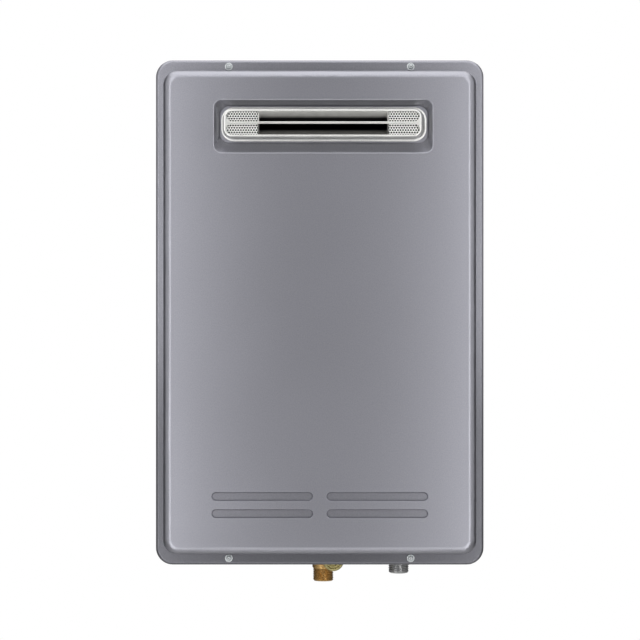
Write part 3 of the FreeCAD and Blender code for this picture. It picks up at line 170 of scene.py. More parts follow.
# %% World
world = bpy.data.worlds.new("studio_world")
bpy.context.scene.world = world
world.use_nodes = True
sky = world.node_tree
sky.nodes.clear()
ambient_strength = 0.42
rays = add(sky, "ShaderNodeLightPath")
seen = add(sky, "ShaderNodeMath", {0: rays.outputs["Is Camera Ray"], 1: rays.outputs["Is Glossy Ray"]},
           operation="MAXIMUM")
seen = add(sky, "ShaderNodeMath", {0: seen.outputs[0], 1: rays.outputs["Is Transmission Ray"]},
           operation="MAXIMUM")
strength = add(sky, "ShaderNodeMapRange",
               {"Value": seen.outputs[0], "To Min": ambient_strength, "To Max": 1.0})
white = add(sky, "ShaderNodeBackground", {"Color": colour("ffffff"), "Strength": strength.outputs[0]})
add(sky, "ShaderNodeOutputWorld", {"Surface": white.outputs[0]})
print("world", len(sky.nodes), "nodes, ambient strength", ambient_strength)

# %% [markdown]
# ## Floor and flags
# A pale floor catches the light below. Metal shows what stands round it, so a photographer sets up
# dark flags: one behind the camera darkens the middle of the front, and grey ones beside and behind
# give the edges of the back a line. The camera itself doesn't see them.

# %% Floor and flags
fold_size = 350


def flat_sheet(name, corners):
    """A plain rectangle of the studio from its four corners."""
    mesh = bpy.data.meshes.new(name)
    mesh.from_pydata(corners, [], [(0, 1, 2, 3)])
    sheet = bpy.data.objects.new(name, mesh)
    bpy.context.scene.collection.objects.link(sheet)
    return sheet


def matt_surface(name, code):
    """A plain matt surface for the studio, a little uneven."""
    material, tree, place = start_material(name)
    folds = add(tree, "ShaderNodeTexNoise", {"Vector": place, "Scale": 1 / fold_size, "Detail": 3.0})
    bump = add(tree, "ShaderNodeBump",
               {"Height": folds.outputs["Fac"], "Strength": 0.05, "Distance": MM})
    return finish_material(material, tree, {
        "Base Color": colour(code), "Roughness": 0.9, "Normal": bump.outputs[0]})


floor_z = -0.95
floor_reach = 7.0
floor_back = 3.2
floor = flat_sheet("floor", [(-floor_reach, -floor_reach, floor_z), (floor_reach, -floor_reach, floor_z),
                             (floor_reach, floor_back, floor_z), (-floor_reach, floor_back, floor_z)])
floor.data.materials.append(matt_surface("pale_floor", "f2f2f0"))
front_cloth = matt_surface("black_flag_cloth", "1c1c1e")
back_cloth = matt_surface("grey_flag_cloth", "3c3c3e")
flag_front = -3.4
flag_back = 2.6
flag_reach = 2.8
flag_x = 1.7
flag_top = 2.4
flag_lines = {
    "front_flag": [(-flag_reach, flag_front), (flag_reach, flag_front)],
    "left_flag": [(-flag_x, flag_back), (-flag_x, 0)],
    "right_flag": [(flag_x, 0), (flag_x, flag_back)],
    "back_flag": [(flag_x, flag_back), (-flag_x, flag_back)],
}
for flag_name, ((x0, y0), (x1, y1)) in flag_lines.items():
    corners = [(x0, y0, floor_z), (x1, y1, floor_z), (x1, y1, flag_top), (x0, y0, flag_top)]
    flag = flat_sheet(flag_name, corners)
    flag.data.materials.append(front_cloth if flag_name == "front_flag" else back_cloth)
    flag.visible_camera = False
print("floor at", floor_z, "and", len(flag_lines), "flags")

# %% [markdown]
# ## Painted shade on the paint
# The spray covers the case evenly, but three places of its colour carry painted shade. The recess
# floor inside the outlet's foot is painted near black, as painted shade behind the screens. The
# slots are painted a little darker, and the flange too, most towards the bottom. Such places could be
# painted by hand into an image. They are boxes in the piece's own coordinates instead, because a box
# needs no image and stays sharp at any size.

# %% A box as a mask
def inside(tree, place, low, high):
    """1 within the box between two corners in millimetres, and 0 outside it."""
    middle = (Vector(low) + Vector(high)) / 2
    half = (Vector(high) - Vector(low)) / 2
    offset = add(tree, "ShaderNodeVectorMath", {0: place, 1: tuple(middle)}, operation="SUBTRACT")
    offset = add(tree, "ShaderNodeVectorMath", {0: offset.outputs[0]}, operation="ABSOLUTE")
    away = add(tree, "ShaderNodeSeparateXYZ", {0: offset.outputs[0]})
    within = 1.0
    for axis, limit in enumerate(half):
        near = add(tree, "ShaderNodeMath", {0: away.outputs[axis], 1: limit}, operation="LESS_THAN")
        both = add(tree, "ShaderNodeMath", {0: within, 1: near.outputs[0]}, operation="MULTIPLY")
        within = both.outputs[0]
    return within


cover_low, cover_high = (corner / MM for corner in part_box("front_cover"))
print("cover from", [round(v, 1) for v in cover_low], "to", [round(v, 1) for v in cover_high], "mm")

# %% Places with painted shade
foot_margin_x = 6
foot_margin_z = 4
mask_reach = 1.3
slots_z = -192.8
slots_reach_x = 110
slots_reach_z = 15
slots_top = 0.4
slots_floor = 2.6
# Painted shade in the slots, as a share of near black.
slots_painted_shade_share = 0.2
cover_lip = 10
flange_margin = 1.4
# Painted shade on the flange: a small share above, a larger one towards the bottom.
high_painted_shade_share = 0.15
low_painted_shade_share = 0.55
high_painted_shade_z = 40
low_painted_shade_z = -150


def behind_outlet(tree, place):
    """1 on the recess floor inside the outlet's foot, where it is painted near black as painted shade.
    """
    low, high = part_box("exhaust_outlet_frame")
    margin = Vector((foot_margin_x, -mask_reach, foot_margin_z))
    foot_low = Vector((low.x, high.y, low.z)) / MM + margin
    foot_high = high / MM - margin
    return inside(tree, place, foot_low, foot_high)


def painted_shade_in_slots(tree, place):
    """The share of painted shade on the walls and floors of the slots."""
    slots = inside(tree, place, (-slots_reach_x, cover_low.y + slots_top, slots_z - slots_reach_z),
                   (slots_reach_x, cover_low.y + slots_floor, slots_z + slots_reach_z))
    return add(tree, "ShaderNodeMath", {0: slots, 1: slots_painted_shade_share}, operation="MULTIPLY").outputs[0]


def painted_shade_on_flange(tree, place):
    """The share of painted shade on the cover's flange, larger towards the bottom."""
    margin = Vector((1, 1, 1)) * flange_margin
    flange_low = Vector((cover_low.x, cover_high.y - cover_lip, cover_low.z)) - margin
    flange = inside(tree, place, flange_low, cover_high + margin)
    height = add(tree, "ShaderNodeSeparateXYZ", {0: place}).outputs["Z"]
    painted_shade_share = add(tree, "ShaderNodeMapRange",
               {"Value": height, "From Min": low_painted_shade_z, "From Max": high_painted_shade_z,
                "To Min": low_painted_shade_share, "To Max": high_painted_shade_share}, interpolation_type="SMOOTHSTEP")
    return add(tree, "ShaderNodeMath", {0: flange, 1: painted_shade_share.outputs[0]}, operation="MULTIPLY").outputs[0]


print("film on the flange from", high_painted_shade_share, "above to", low_painted_shade_share, "below")

# %% [markdown]
# ## Silver-grey paint
# The case and its cover are pressed steel under a metallic paint: fine aluminium flakes in a grey,
# slightly violet base, then a satin clear coat. A plain grey would look like card. Metal in the
# shader gives the soft change from the lit edges to the quieter middle, a fine noise stands for the
# flakes, and a wider one for the faint orange peel that spray leaves. Real flakes are a few
# hundredths of a millimetre across. They are drawn 0.9 mm apart, because finer ones wouldn't show in
# the picture.

# %% Paint
flake_pitch = 0.9
peel_pitch = 5
cloud_pitch = 90


def ramp_between(tree, factor, dark, light, low=0.3, high=0.7):
    """A colour that runs from dark to light as the factor goes from low to high."""
    share = add(tree, "ShaderNodeMapRange", {"Value": factor, "From Min": low, "From Max": high})
    mix = add(tree, "ShaderNodeMix", {0: share.outputs[0], 6: colour(dark), 7: colour(light)},
              data_type="RGBA")
    return mix.outputs[2]


def silver_paint():
    """Metallic spray paint in a satin coat, with painted shade in the recess, the slots and on the
    flange.
    """
    material, tree, place = start_material("silver_metallic_paint")
    flakes = add(tree, "ShaderNodeTexNoise", {"Vector": place, "Scale": 1 / flake_pitch, "Detail": 2.0})
    cloud = add(tree, "ShaderNodeTexNoise", {"Vector": place, "Scale": 1 / cloud_pitch, "Detail": 1.0})
    peel = add(tree, "ShaderNodeTexNoise", {"Vector": place, "Scale": 1 / peel_pitch, "Detail": 1.0})
    base = ramp_between(tree, flakes.outputs["Fac"], "8f8f97", "9a9aa1")
    bump = add(tree, "ShaderNodeBump",
               {"Height": peel.outputs["Fac"], "Strength": 0.05, "Distance": 0.008 * MM})
    rough = add(tree, "ShaderNodeMapRange",
                {"Value": cloud.outputs["Fac"], "To Min": 0.40, "To Max": 0.42})
    # Painted shade: near black in the recess, darker in the slots and on the flange.
    painted_shade = behind_outlet(tree, place)
    for share in (painted_shade_in_slots(tree, place), painted_shade_on_flange(tree, place)):
        painted_shade = add(tree, "ShaderNodeMath", {0: painted_shade, 1: share}, operation="MAXIMUM").outputs[0]
    paint = add(tree, "ShaderNodeMix", {0: painted_shade, 6: base, 7: colour("101010")}, data_type="RGBA")
    return finish_material(material, tree, {
        "Base Color": paint.outputs[2], "Metallic": 1.0, "Roughness": rough.outputs[0],
        "Normal": bump.outputs[0], "Coat Weight": 0.15, "Coat Roughness": 0.25})


finishes = {"silver_paint": silver_paint()}
print("paint", len(finishes["silver_paint"].node_tree.nodes), "nodes")

# %% [markdown]
# ## Zinc-coated sheet
# Brackets and the inner sheets are mild steel dipped in hot zinc. The zinc freezes into flat crystals
# a few millimetres wide, each of which throws the light its own way, so the sheet looks patched in
# close greys. A Voronoi pattern has just such cells, and its random cell colour sets how light and
# how rough each crystal is.

# %% Zinc sheet
crystal_size = 7
frost_size = 0.8


def zinc_sheet(name, dark, light):
    """Hot-dip zinc: flat crystals, each a little lighter or darker."""
    material, tree, place = start_material(name)
    cells = add(tree, "ShaderNodeTexVoronoi",
                {"Vector": place, "Scale": 1 / crystal_size, "Randomness": 1.0})
    shade = add(tree, "ShaderNodeSeparateColor", {0: cells.outputs["Color"]}).outputs[0]
    fine = add(tree, "ShaderNodeTexNoise", {"Vector": place, "Scale": 1 / frost_size, "Detail": 2.0})
    bump = add(tree, "ShaderNodeBump",
               {"Height": fine.outputs["Fac"], "Strength": 0.1, "Distance": 0.02 * MM})
    rough = add(tree, "ShaderNodeMapRange", {"Value": shade, "To Min": 0.34, "To Max": 0.5})
    return finish_material(material, tree, {
        "Base Color": ramp_between(tree, shade, dark, light, low=0.0, high=1.0), "Metallic": 1.0,
        "Roughness": rough.outputs[0], "Normal": bump.outputs[0]})


finishes["galvanised_steel"] = zinc_sheet("hot_dip_zinc_sheet", "a0a4a5", "b3b7b8")
print("zinc crystals", crystal_size, "mm wide")

# %% [markdown]
# ## Bare, plated and cast metals
# Brass fittings are turned, copper tube is drawn, the gas valve is cast, and screws are plated. They
# share one recipe: a metal whose colour follows a fine grain, whose roughness drifts over a wider
# one, and whose bump is as deep as the tool's marks. Each gets its own grain in millimetres.

# %% Metals with a grain
wear_size = 14
smoothest = 0.8
roughest = 1.25


def grained_metal(name, dark, light, rough, grain, stretch=(1, 1, 1), depth=0.02, metal=1.0):
    """Metal with a grain of a given size in millimetres, drawn out along an axis where it is ground."""
    material, tree, place = start_material(name)
    drawn = add(tree, "ShaderNodeMapping", {"Vector": place, "Scale": [s / grain for s in stretch]})
    marks = add(tree, "ShaderNodeTexNoise", {"Vector": drawn.outputs[0], "Scale": 1.0, "Detail": 3.0})
    cloud = add(tree, "ShaderNodeTexNoise", {"Vector": place, "Scale": 1 / wear_size, "Detail": 2.0})
    bump = add(tree, "ShaderNodeBump",
               {"Height": marks.outputs["Fac"], "Strength": 0.25, "Distance": depth * MM})
    worn = add(tree, "ShaderNodeMapRange",
               {"Value": cloud.outputs["Fac"], "To Min": rough * smoothest, "To Max": rough * roughest})
    return finish_material(material, tree, {
        "Base Color": ramp_between(tree, marks.outputs["Fac"], dark, light), "Metallic": metal,
        "Roughness": worn.outputs[0], "Normal": bump.outputs[0]})


finishes.update({
    # Stainless sheet as rolled: bright and satin, hardly any grain.
    "polished_steel": grained_metal("satin_stainless", "cfcfcc", "dededb", rough=0.42, grain=0.8,
                                    depth=0.002),
    # The same sheet punched: the burrs round its holes scatter light, so it looks whiter.
    "screen_steel": grained_metal("punched_stainless", "ececea", "f6f6f3", rough=0.45, grain=0.4,
                                  depth=0.005, metal=0.4),
    # Zinc plate on rolled screws: bright and slightly blue.
    "screw_zinc": grained_metal("bright_zinc_plate", "babdbf", "d2d5d6", rough=0.42, grain=0.5,
                                depth=0.004),
    # Brass from the lathe: warm, dulled by handling.
    "brass": grained_metal("turned_brass", "a68552", "c8a66e", rough=0.42, grain=0.5, depth=0.004),
    # Zinc plate under a yellow passivation: a pale gold that varies from place to place.
    "yellow_zinc": grained_metal("yellow_passivated_zinc", "a09562", "d0c590", rough=0.36, grain=1.5,
                                 depth=0.004),
    # Nickel plate: darker than zinc.
    "nickel": grained_metal("dark_nickel_plate", "9c9c9d", "bebebe", rough=0.36, grain=0.5, depth=0.004),
    # Drawn tube: smooth, and browned by its first oxide in wide patches.
    "copper": grained_metal("drawn_copper", "98624c", "a66f58", rough=0.34, grain=9.0, depth=0.003),
    # Die casting: a sand-fine skin, matt and pale.
    "cast_aluminium": grained_metal("die_cast_aluminium", "9a9b9c", "b9babb", rough=0.45, grain=0.6,
                                    depth=0.06),
    # Soft iron: plain grey, with marks drawn out along the plunger's stroke.
    "soft_iron": grained_metal("bright_soft_iron", "6e6f71", "8c8d90", rough=0.32, grain=0.4,
                               stretch=(1, 0.1, 1)),
})
print("finishes so far", len(finishes))

# %% [markdown]
# ## The exhaust duct
# The duct behind the windows is stainless too, and hot gas runs through it. Its mouth is satin,
# with painted light on the upper wall and painted shade on the lower one, and farther in it is painted
# black, as painted shade deep in the duct. One range along the depth blends the two, so no edge shows.

# %% Duct with painted light and shade
satin_depth = 8
black_depth = 13
stain_size = 9


def duct_steel():
    """Satin stainless at the mouth, painted lighter above and darker below, and painted black farther in
    as painted shade.
    """
    material, tree, place = start_material("duct_stainless_painted_shade")
    axes = add(tree, "ShaderNodeSeparateXYZ", {0: place})
    low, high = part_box("exhaust_throat")
    mouth = low.y / MM
    middle_z = (low.z + high.z) / 2 / MM
    inward = add(tree, "ShaderNodeMapRange",
                 {"Value": axes.outputs["Y"], "From Min": mouth + satin_depth,
                  "From Max": mouth + black_depth})
    above = add(tree, "ShaderNodeMath", {0: axes.outputs["Z"], 1: middle_z}, operation="GREATER_THAN")
    cloud = add(tree, "ShaderNodeTexNoise", {"Vector": place, "Scale": 1 / stain_size, "Detail": 2.0})
    # Painted light on the upper wall, painted shade on the lower one.
    shaded_lower_wall = ramp_between(tree, cloud.outputs["Fac"], "656462", "73726f")
    lit_upper_wall = ramp_between(tree, cloud.outputs["Fac"], "cccbc7", "d9d8d4")
    satin = add(tree, "ShaderNodeMix", {0: above.outputs[0], 6: shaded_lower_wall, 7: lit_upper_wall},
                data_type="RGBA")
    # Painted shade: the duct turns black farther in.
    blend = add(tree, "ShaderNodeMix", {0: inward.outputs[0], 6: satin.outputs[2], 7: colour("060606")},
                data_type="RGBA")
    rough = add(tree, "ShaderNodeMapRange", {"Value": inward.outputs[0], "To Min": 0.4, "To Max": 0.8})
    return finish_material(material, tree, {
        "Base Color": blend.outputs[2], "Metallic": 0.3, "Roughness": rough.outputs[0]})


finishes["duct_steel"] = duct_steel()
print("duct black from", black_depth, "mm behind its mouth")

# %% [markdown]
# ## Plastic, rubber, ceramic and board
# These are matt or satin and not metallic. Moulded plastic has a fine leathery texture from its
# tool, foam rubber has open pores, unglazed ceramic is chalky, and a circuit board is laminate under
# green lacquer. The recipe of the metals serves them too, with no metal in it.

# %% Plastics and the rest
def moulded(name, dark, light, rough, grain, depth=0.03):
    """Plastic, rubber or ceramic with a fine even texture."""
    return grained_metal(name, dark, light, rough, grain, depth=depth, metal=0.0)


finishes.update({
    # Foamed rubber, cut from sheet: black with open pores.
    "seal_rubber": moulded("foam_rubber", "141414", "202020", rough=0.85, grain=0.9, depth=0.15),
    # Pressed mineral fibre: grey-brown, dull and a little fuzzy.
    "heat_seal": moulded("fibre_seal", "4b4742", "6b665e", rough=0.9, grain=0.7, depth=0.1),
    # Moulded plastic: satin, with the texture of its tool.
    "black_plastic": moulded("black_moulded_plastic", "17181a", "222325", rough=0.5, grain=0.5),
    "white_plastic": moulded("white_moulded_plastic", "d9d8d3", "e6e5e0", rough=0.45, grain=0.6),
    # Glass-fibre laminate under green lacquer: even and satin.
    "board_green": moulded("green_board_laminate", "14502c", "1d6b3c", rough=0.4, grain=0.8),
    # Fired and unglazed: warm white and chalky.
    "ceramic": moulded("unglazed_ceramic", "d8d2c4", "ece7da", rough=0.6, grain=0.8),
})
print("finishes", len(finishes))

# %% [markdown]
# ## Dressing the imported pieces
# A imported piece arrives as loose triangles, so every edge would look creased. Its corners and faces
# stay as they are: a weld joins the corners while it renders, an edge split keeps the real edges
# crisp, and weighted normals keep flat faces flat beside their bends. The flue hood is the one piece
# of zinc sheet with a finish of its own: it is painted near black, as painted shade behind the screens.

# %% Finish every imported piece
crease_angle = math.radians(32)
weld_distance = 0.002 * MM


def smooth(piece):
    """Weld, split and weight a piece's corners without changing its own mesh."""
    piece.data.polygons.foreach_set("use_smooth", [True] * len(piece.data.polygons))
    weld = piece.modifiers.new("weld", "WELD")
    weld.merge_threshold = weld_distance
    split = piece.modifiers.new("creases", "EDGE_SPLIT")
    split.split_angle = crease_angle
    piece.modifiers.new("flat_faces", "WEIGHTED_NORMAL")


slots = {part["node"]: part["material_slot"] for part in frame["record"]["subparts"]}
finish_of = {name: finishes[slot] for name, slot in slots.items()}
# The flue hood is painted near black: painted shade inside the case, seen through the screens' holes.
finish_of["flue_hood"] = grained_metal("flue_hood_painted_shade", "151413", "22201e", rough=0.6, grain=6.0)
for name, piece in nodes.items():
    piece.data.materials.clear()
    piece.data.materials.append(finish_of[name])
    smooth(piece)
print("dressed", len(nodes), "pieces in", len(set(slots.values())), "slots")

# %% [markdown]
# ## Perforated screens
# Behind each end of the windows sits thin stainless sheet, punched with round holes 2 mm across in
# staggered rows. Hundreds of booleans would be slow, so one cell with its hole is made once and
# repeated. The cell's upper and lower edges carry a middle point, so that the next row, moved by
# half a pitch, joins it corner to corner.

# %% One cell of the screen
hole_pitch = 2.6 * MM
row_pitch = 2.3 * MM
hole_radius = 1.0 * MM
hole_sides = 12


def plain_object(name, mesh):
    """An object at the origin that holds a mesh."""
    piece = bpy.data.objects.new(name, mesh)
    bpy.context.scene.collection.objects.link(piece)
    return piece


def screen_cell():
    """A rectangle with a round hole in the plane of the screen, facing the front."""
    bm = bmesh.new()
    half_w, half_h = hole_pitch / 2, row_pitch / 2
    border = [(-half_w, -half_h), (0, -half_h), (half_w, -half_h),
              (half_w, half_h), (0, half_h), (-half_w, half_h)]
    turns = [2 * math.pi * (i + 0.5) / hole_sides for i in range(hole_sides)]
    hole = [(hole_radius * math.cos(t), hole_radius * math.sin(t)) for t in turns]
    edges = []
    for loop in (border, hole):
        verts = [bm.verts.new((x, 0, z)) for x, z in loop]
        edges += [bm.edges.new((verts[i - 1], verts[i])) for i in range(len(verts))]
    bmesh.ops.triangle_fill(bm, use_beauty=True, use_dissolve=False, edges=edges)
    for face in bm.faces:
        if face.normal.y > 0:
            face.normal_flip()
    mesh = bpy.data.meshes.new("screen_cell")
    bm.to_mesh(mesh)
    bm.free()
    return mesh


cell = screen_cell()
print("cell", len(cell.polygons), "faces")

# %% [markdown]
# ## Laying cells like bricks
# Geometry Nodes repeat the cell. The tree makes as many points as there are cells, works out each
# point's column and row from its index, moves every second row by half a pitch, and puts a copy of
# the cell on each point. Copies that only refer to the cell are lost in an export, so the tree makes
# them real and merges their shared corners.

# %% A tree that lays cells like bricks
corner_merge = 0.01 * MM


def new_tree(name, inputs):
    """A geometry node tree with a geometry input, named inputs and a geometry output."""
    tree = bpy.data.node_groups.new(name, "GeometryNodeTree")
    tree.interface.new_socket("Geometry", in_out="INPUT", socket_type="NodeSocketGeometry")
    for label, kind in inputs.items():
        tree.interface.new_socket(label, in_out="INPUT", socket_type=kind)
    tree.interface.new_socket("Geometry", in_out="OUTPUT", socket_type="NodeSocketGeometry")
    return tree, add(tree, "NodeGroupInput")


def brick_tree(material):
    """Copies of one cell, a number of columns by rows, each second row moved by half a pitch."""
    tree, group = new_tree("laid_like_bricks", {
        "Columns": "NodeSocketInt", "Rows": "NodeSocketInt", "Pitch": "NodeSocketFloat",
        "Row Pitch": "NodeSocketFloat", "Corner": "NodeSocketVector"})
    sizes = group.outputs
    count = add(tree, "ShaderNodeMath", {0: sizes["Columns"], 1: sizes["Rows"]}, operation="MULTIPLY")
    points = add(tree, "GeometryNodeMeshLine", {"Count": count.outputs[0]})
    index = add(tree, "GeometryNodeInputIndex").outputs[0]
    column = add(tree, "ShaderNodeMath", {0: index, 1: sizes["Columns"]}, operation="MODULO")
    row = add(tree, "ShaderNodeMath", {0: index, 1: sizes["Columns"]}, operation="DIVIDE")
    row = add(tree, "ShaderNodeMath", {0: row.outputs[0]}, operation="FLOOR")
    odd = add(tree, "ShaderNodeMath", {0: row.outputs[0], 1: 2.0}, operation="MODULO")
    step = add(tree, "ShaderNodeMath", {0: odd.outputs[0], 1: 0.5, 2: column.outputs[0]},
               operation="MULTIPLY_ADD")
    x = add(tree, "ShaderNodeMath", {0: step.outputs[0], 1: sizes["Pitch"]}, operation="MULTIPLY")
    z = add(tree, "ShaderNodeMath", {0: row.outputs[0], 1: sizes["Row Pitch"]}, operation="MULTIPLY")
    place = add(tree, "ShaderNodeCombineXYZ", {"X": x.outputs[0], "Z": z.outputs[0]})
    place = add(tree, "ShaderNodeVectorMath", {0: place.outputs[0], 1: sizes["Corner"]}, operation="ADD")
    points = add(tree, "GeometryNodeSetPosition",
                 {"Geometry": points.outputs[0], "Position": place.outputs[0]})
    cells = add(tree, "GeometryNodeInstanceOnPoints",
                {"Points": points.outputs[0], "Instance": sizes["Geometry"]})
    cells = add(tree, "GeometryNodeRealizeInstances", {0: cells.outputs[0]})
    joined = add(tree, "GeometryNodeMergeByDistance",
                 {"Geometry": cells.outputs[0], "Distance": corner_merge})
    final = add(tree, "GeometryNodeSetMaterial", {"Geometry": joined.outputs[0], "Material": material})
    add(tree, "NodeGroupOutput", {0: final.outputs[0]})
    return tree


screen_tree = brick_tree(finishes["screen_steel"])
print(screen_tree.name, len(screen_tree.nodes), "nodes")

# %% [markdown]
# ## Trimming the screens
# The laid sheet is larger than the screen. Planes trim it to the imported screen's box and cut its
# outer corners, as shears would, which leaves half holes along its inner edge. A Solidify modifier
# then gives the sheet its thickness.

# %% Both screens
screen_thickness = 0.5 * MM
corner_cut = 3.0 * MM
cut_tolerance = 1e-7
spare_cells = 3


def plain_mesh_of(piece):
    """Keep what a piece's modifiers make as its plain mesh, and drop the modifiers."""
    made = bpy.data.meshes.new_from_object(piece.evaluated_get(bpy.context.evaluated_depsgraph_get()))
    piece.modifiers.clear()
    piece.data = made
    return made


def grow(piece, tree, values):
    """Run a tree on a piece with its inputs set by identifier, and keep the result."""
    modifier = piece.modifiers.new(tree.name, "NODES")
    modifier.node_group = tree
    for item in tree.interface.items_tree:
        if item.in_out == "INPUT" and item.name in values:
            modifier[item.identifier] = values[item.name]
    return plain_mesh_of(piece)


def trim(mesh, planes):
    """Cut a mesh by planes given as (point, outward direction) and drop what lies outside."""
    bm = bmesh.new()
    bm.from_mesh(mesh)
    for point, outward in planes:
        parts = list(bm.verts) + list(bm.edges) + list(bm.faces)
        bmesh.ops.bisect_plane(bm, geom=parts, dist=cut_tolerance, plane_co=point, plane_no=outward,
                               clear_outer=True)
    bm.to_mesh(mesh)
    bm.free()


for side, node in ((-1, "exhaust_screen_left"), (1, "exhaust_screen_right")):
    box_low, box_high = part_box(node)
    columns = int((box_high.x - box_low.x) / hole_pitch) + spare_cells
    rows = int((box_high.z - box_low.z) / row_pitch) + spare_cells
    inner_x = box_high.x if side < 0 else box_low.x
    outer_x = box_low.x if side < 0 else box_high.x
    first_x = inner_x - (columns - 1) * hole_pitch if side < 0 else inner_x - hole_pitch
    middle_z = (box_low.z + box_high.z) / 2
    first_z = middle_z - (rows - 1) / 2 * row_pitch
    screen = plain_object(node.replace("exhaust_", "") + "_sheet", cell)
    sheet = grow(screen, screen_tree, {"Columns": columns + 1, "Rows": rows, "Pitch": hole_pitch,
                                       "Row Pitch": row_pitch, "Corner": (first_x, box_low.y, first_z)})
    planes = [((inner_x, 0, 0), (-side, 0, 0)), ((outer_x, 0, 0), (side, 0, 0)),
              ((0, 0, box_low.z), (0, 0, -1)), ((0, 0, box_high.z), (0, 0, 1))]
    for edge_z, up in ((box_low.z, -1), (box_high.z, 1)):
        planes.append(((outer_x - side * corner_cut, 0, edge_z), (side, 0, up)))
    trim(sheet, planes)
    wall = screen.modifiers.new("sheet", "SOLIDIFY")
    wall.thickness = screen_thickness
    wall.offset = -1
    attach(screen, UNIT)
    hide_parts(node)
    print(screen.name, columns, "columns", rows, "rows", len(sheet.polygons), "faces")

# %% [markdown]
# ## Turned skins
# Screws, rivets and the collars of fittings are round, so only half of their outline is written: a
# profile of points, with its round stretches as arcs. A Screw modifier could turn it, but its seam
# has to be merged afterwards. Here each point of the profile becomes a ring, and neighbouring rings
# are joined by faces, so the skin is closed from the start.

# %% Profiles and skins
def point_round(place, radius, along, turn, axis):
    """A point at a radius, a distance and a turn about an axis that runs along -y or up z."""
    a, b = radius * math.cos(turn), radius * math.sin(turn)
    if axis == "Y":
        return (place[0] + a, place[1] - along, place[2] + b)
    return (place[0] + a, place[1] + b, place[2] + along)


def turned(bm, profile, place, sides=32, axis="Y", ring_shape=False):
    """A skin through rings at (radius, distance along the axis), closed at radius 0 or on itself."""
    rings = []
    for radius, along in profile:
        count = sides if radius else 1
        turns = [2 * math.pi * i / sides for i in range(count)]
        rings.append([bm.verts.new(point_round(place, radius * MM, along * MM, t, axis)) for t in turns])
    pairs = list(zip(rings, rings[1:]))
    if ring_shape:
        pairs.append((rings[-1], rings[0]))
    for low, high in pairs:
        for i in range(sides):
            j = (i + 1) % sides
            corners = [low[i % len(low)], low[j % len(low)], high[j % len(high)], high[i % len(high)]]
            corners = [v for k, v in enumerate(corners) if v not in corners[:k]]
            if len(corners) > 2:
                bm.faces.new(corners)


def arc(middle, radius, start, end, steps):
    """Profile points on a round stretch, from one turn to another in degrees."""
    turns = [math.radians(start + (end - start) * i / steps) for i in range(steps + 1)]
    return [(middle[0] + radius * math.cos(t), middle[1] + radius * math.sin(t)) for t in turns]


def finished_mesh(name, bm):
    """Point every face outwards and hand the mesh over."""
    bmesh.ops.recalc_face_normals(bm, faces=bm.faces)
    mesh = bpy.data.meshes.new(name)
    bm.to_mesh(mesh)
    bm.free()
    return mesh


print("quarter arc", [(round(a, 2), round(b, 2)) for a, b in arc((0, 0), 1, 0, 90, 3)])

# %% [markdown]
# ## Pan-head screws
# Four screws hold the cover. A real one is pressed from wire: a low crown, a groove round it and a
# rounded collar under that. The groove is narrow and deep, and so it reads as a dark ring from the
# front. One blank is turned at the origin with its head towards the front.

# %% A screw blank
crown_height = 2.5
crown_radius = 2.0
crown_round = 0.85
head_radius = 3.9
head_round = 0.5
screw_radius = 2.0
screw_length = 12.5
screw_tip = 2.0
crown = [(0, crown_height)]
crown += arc((crown_radius - crown_round, crown_height - crown_round), crown_round, 90, 0, 5)
groove = [(1.95, 1.1), (2.45, 0.1)]
collar = arc((head_radius - head_round, head_round), head_round, 140, 0, 6)
shank = [(head_radius, 0), (screw_radius, 0), (screw_radius, screw_tip - screw_length),
         (0, -screw_length)]
bm = bmesh.new()
turned(bm, crown + groove + collar + shank, (0, 0, 0), sides=40)
screw = plain_object("screw_blank", finished_mesh("pan_head_screw", bm))
print("screw blank", len(screw.data.polygons), "faces")

# %% [markdown]
# ## The cross recess
# A driver's cross is wider at the mouth than at its floor. Two twelve-cornered outlines, one deep and
# small, one above the crown and full size, make a cutter, and one boolean takes it out of the
# blank. One cut on one screw is enough, because the four screws are copies.

# %% Cut the recess
recess_depth = 1.7
recess_reach = 1.4
recess_width = 0.45
recess_taper = 0.5
recess_turn = math.radians(45)
cutter_top = crown_height + 0.2


def cross_ring(bm, reach, height):
    """One outline of a cross with arms of a given reach, turned by half a right angle."""
    a, b = reach, recess_width
    outline = [(a, -b), (a, b), (b, b), (b, a), (-b, a), (-b, b),
               (-a, b), (-a, -b), (-b, -b), (-b, -a), (b, -a), (b, -b)]
    cosine, sine = math.cos(recess_turn), math.sin(recess_turn)
    return [bm.verts.new(((x * cosine - z * sine) * MM, -height * MM, (x * sine + z * cosine) * MM))
            for x, z in outline]


def cut(piece, cutter):
    """Cut one closed mesh out of another once, and keep the result as a plain mesh."""
    step = piece.modifiers.new("cut", "BOOLEAN")
    step.object = cutter
    step.solver = "EXACT"
    plain_mesh_of(piece)
    bpy.data.objects.remove(cutter)


bm = bmesh.new()
floor_ring = cross_ring(bm, recess_reach * recess_taper, crown_height - recess_depth)
mouth_ring = cross_ring(bm, recess_reach, cutter_top)
bm.faces.new(floor_ring)
bm.faces.new(mouth_ring)
for i in range(len(floor_ring)):
    bm.faces.new([floor_ring[i - 1], floor_ring[i], mouth_ring[i], mouth_ring[i - 1]])
cut(screw, plain_object("cross", finished_mesh("cross", bm)))
print("screw with its recess", len(screw.data.polygons), "faces")

# %% [markdown]
# ## A grid of copies
# The screws stand at the corners of a rectangle and the rivets in two rows of three. Both are grids,
# so one tree serves both: its points are a mesh grid stood upright, and each point carries a copy.
# All copies are the same part, as they would be from a box.

# %% A tree that repeats a piece on a grid
screw_spacing_x = 183.0
screw_spacing_z = 494.6
screw_head_height = 2.6


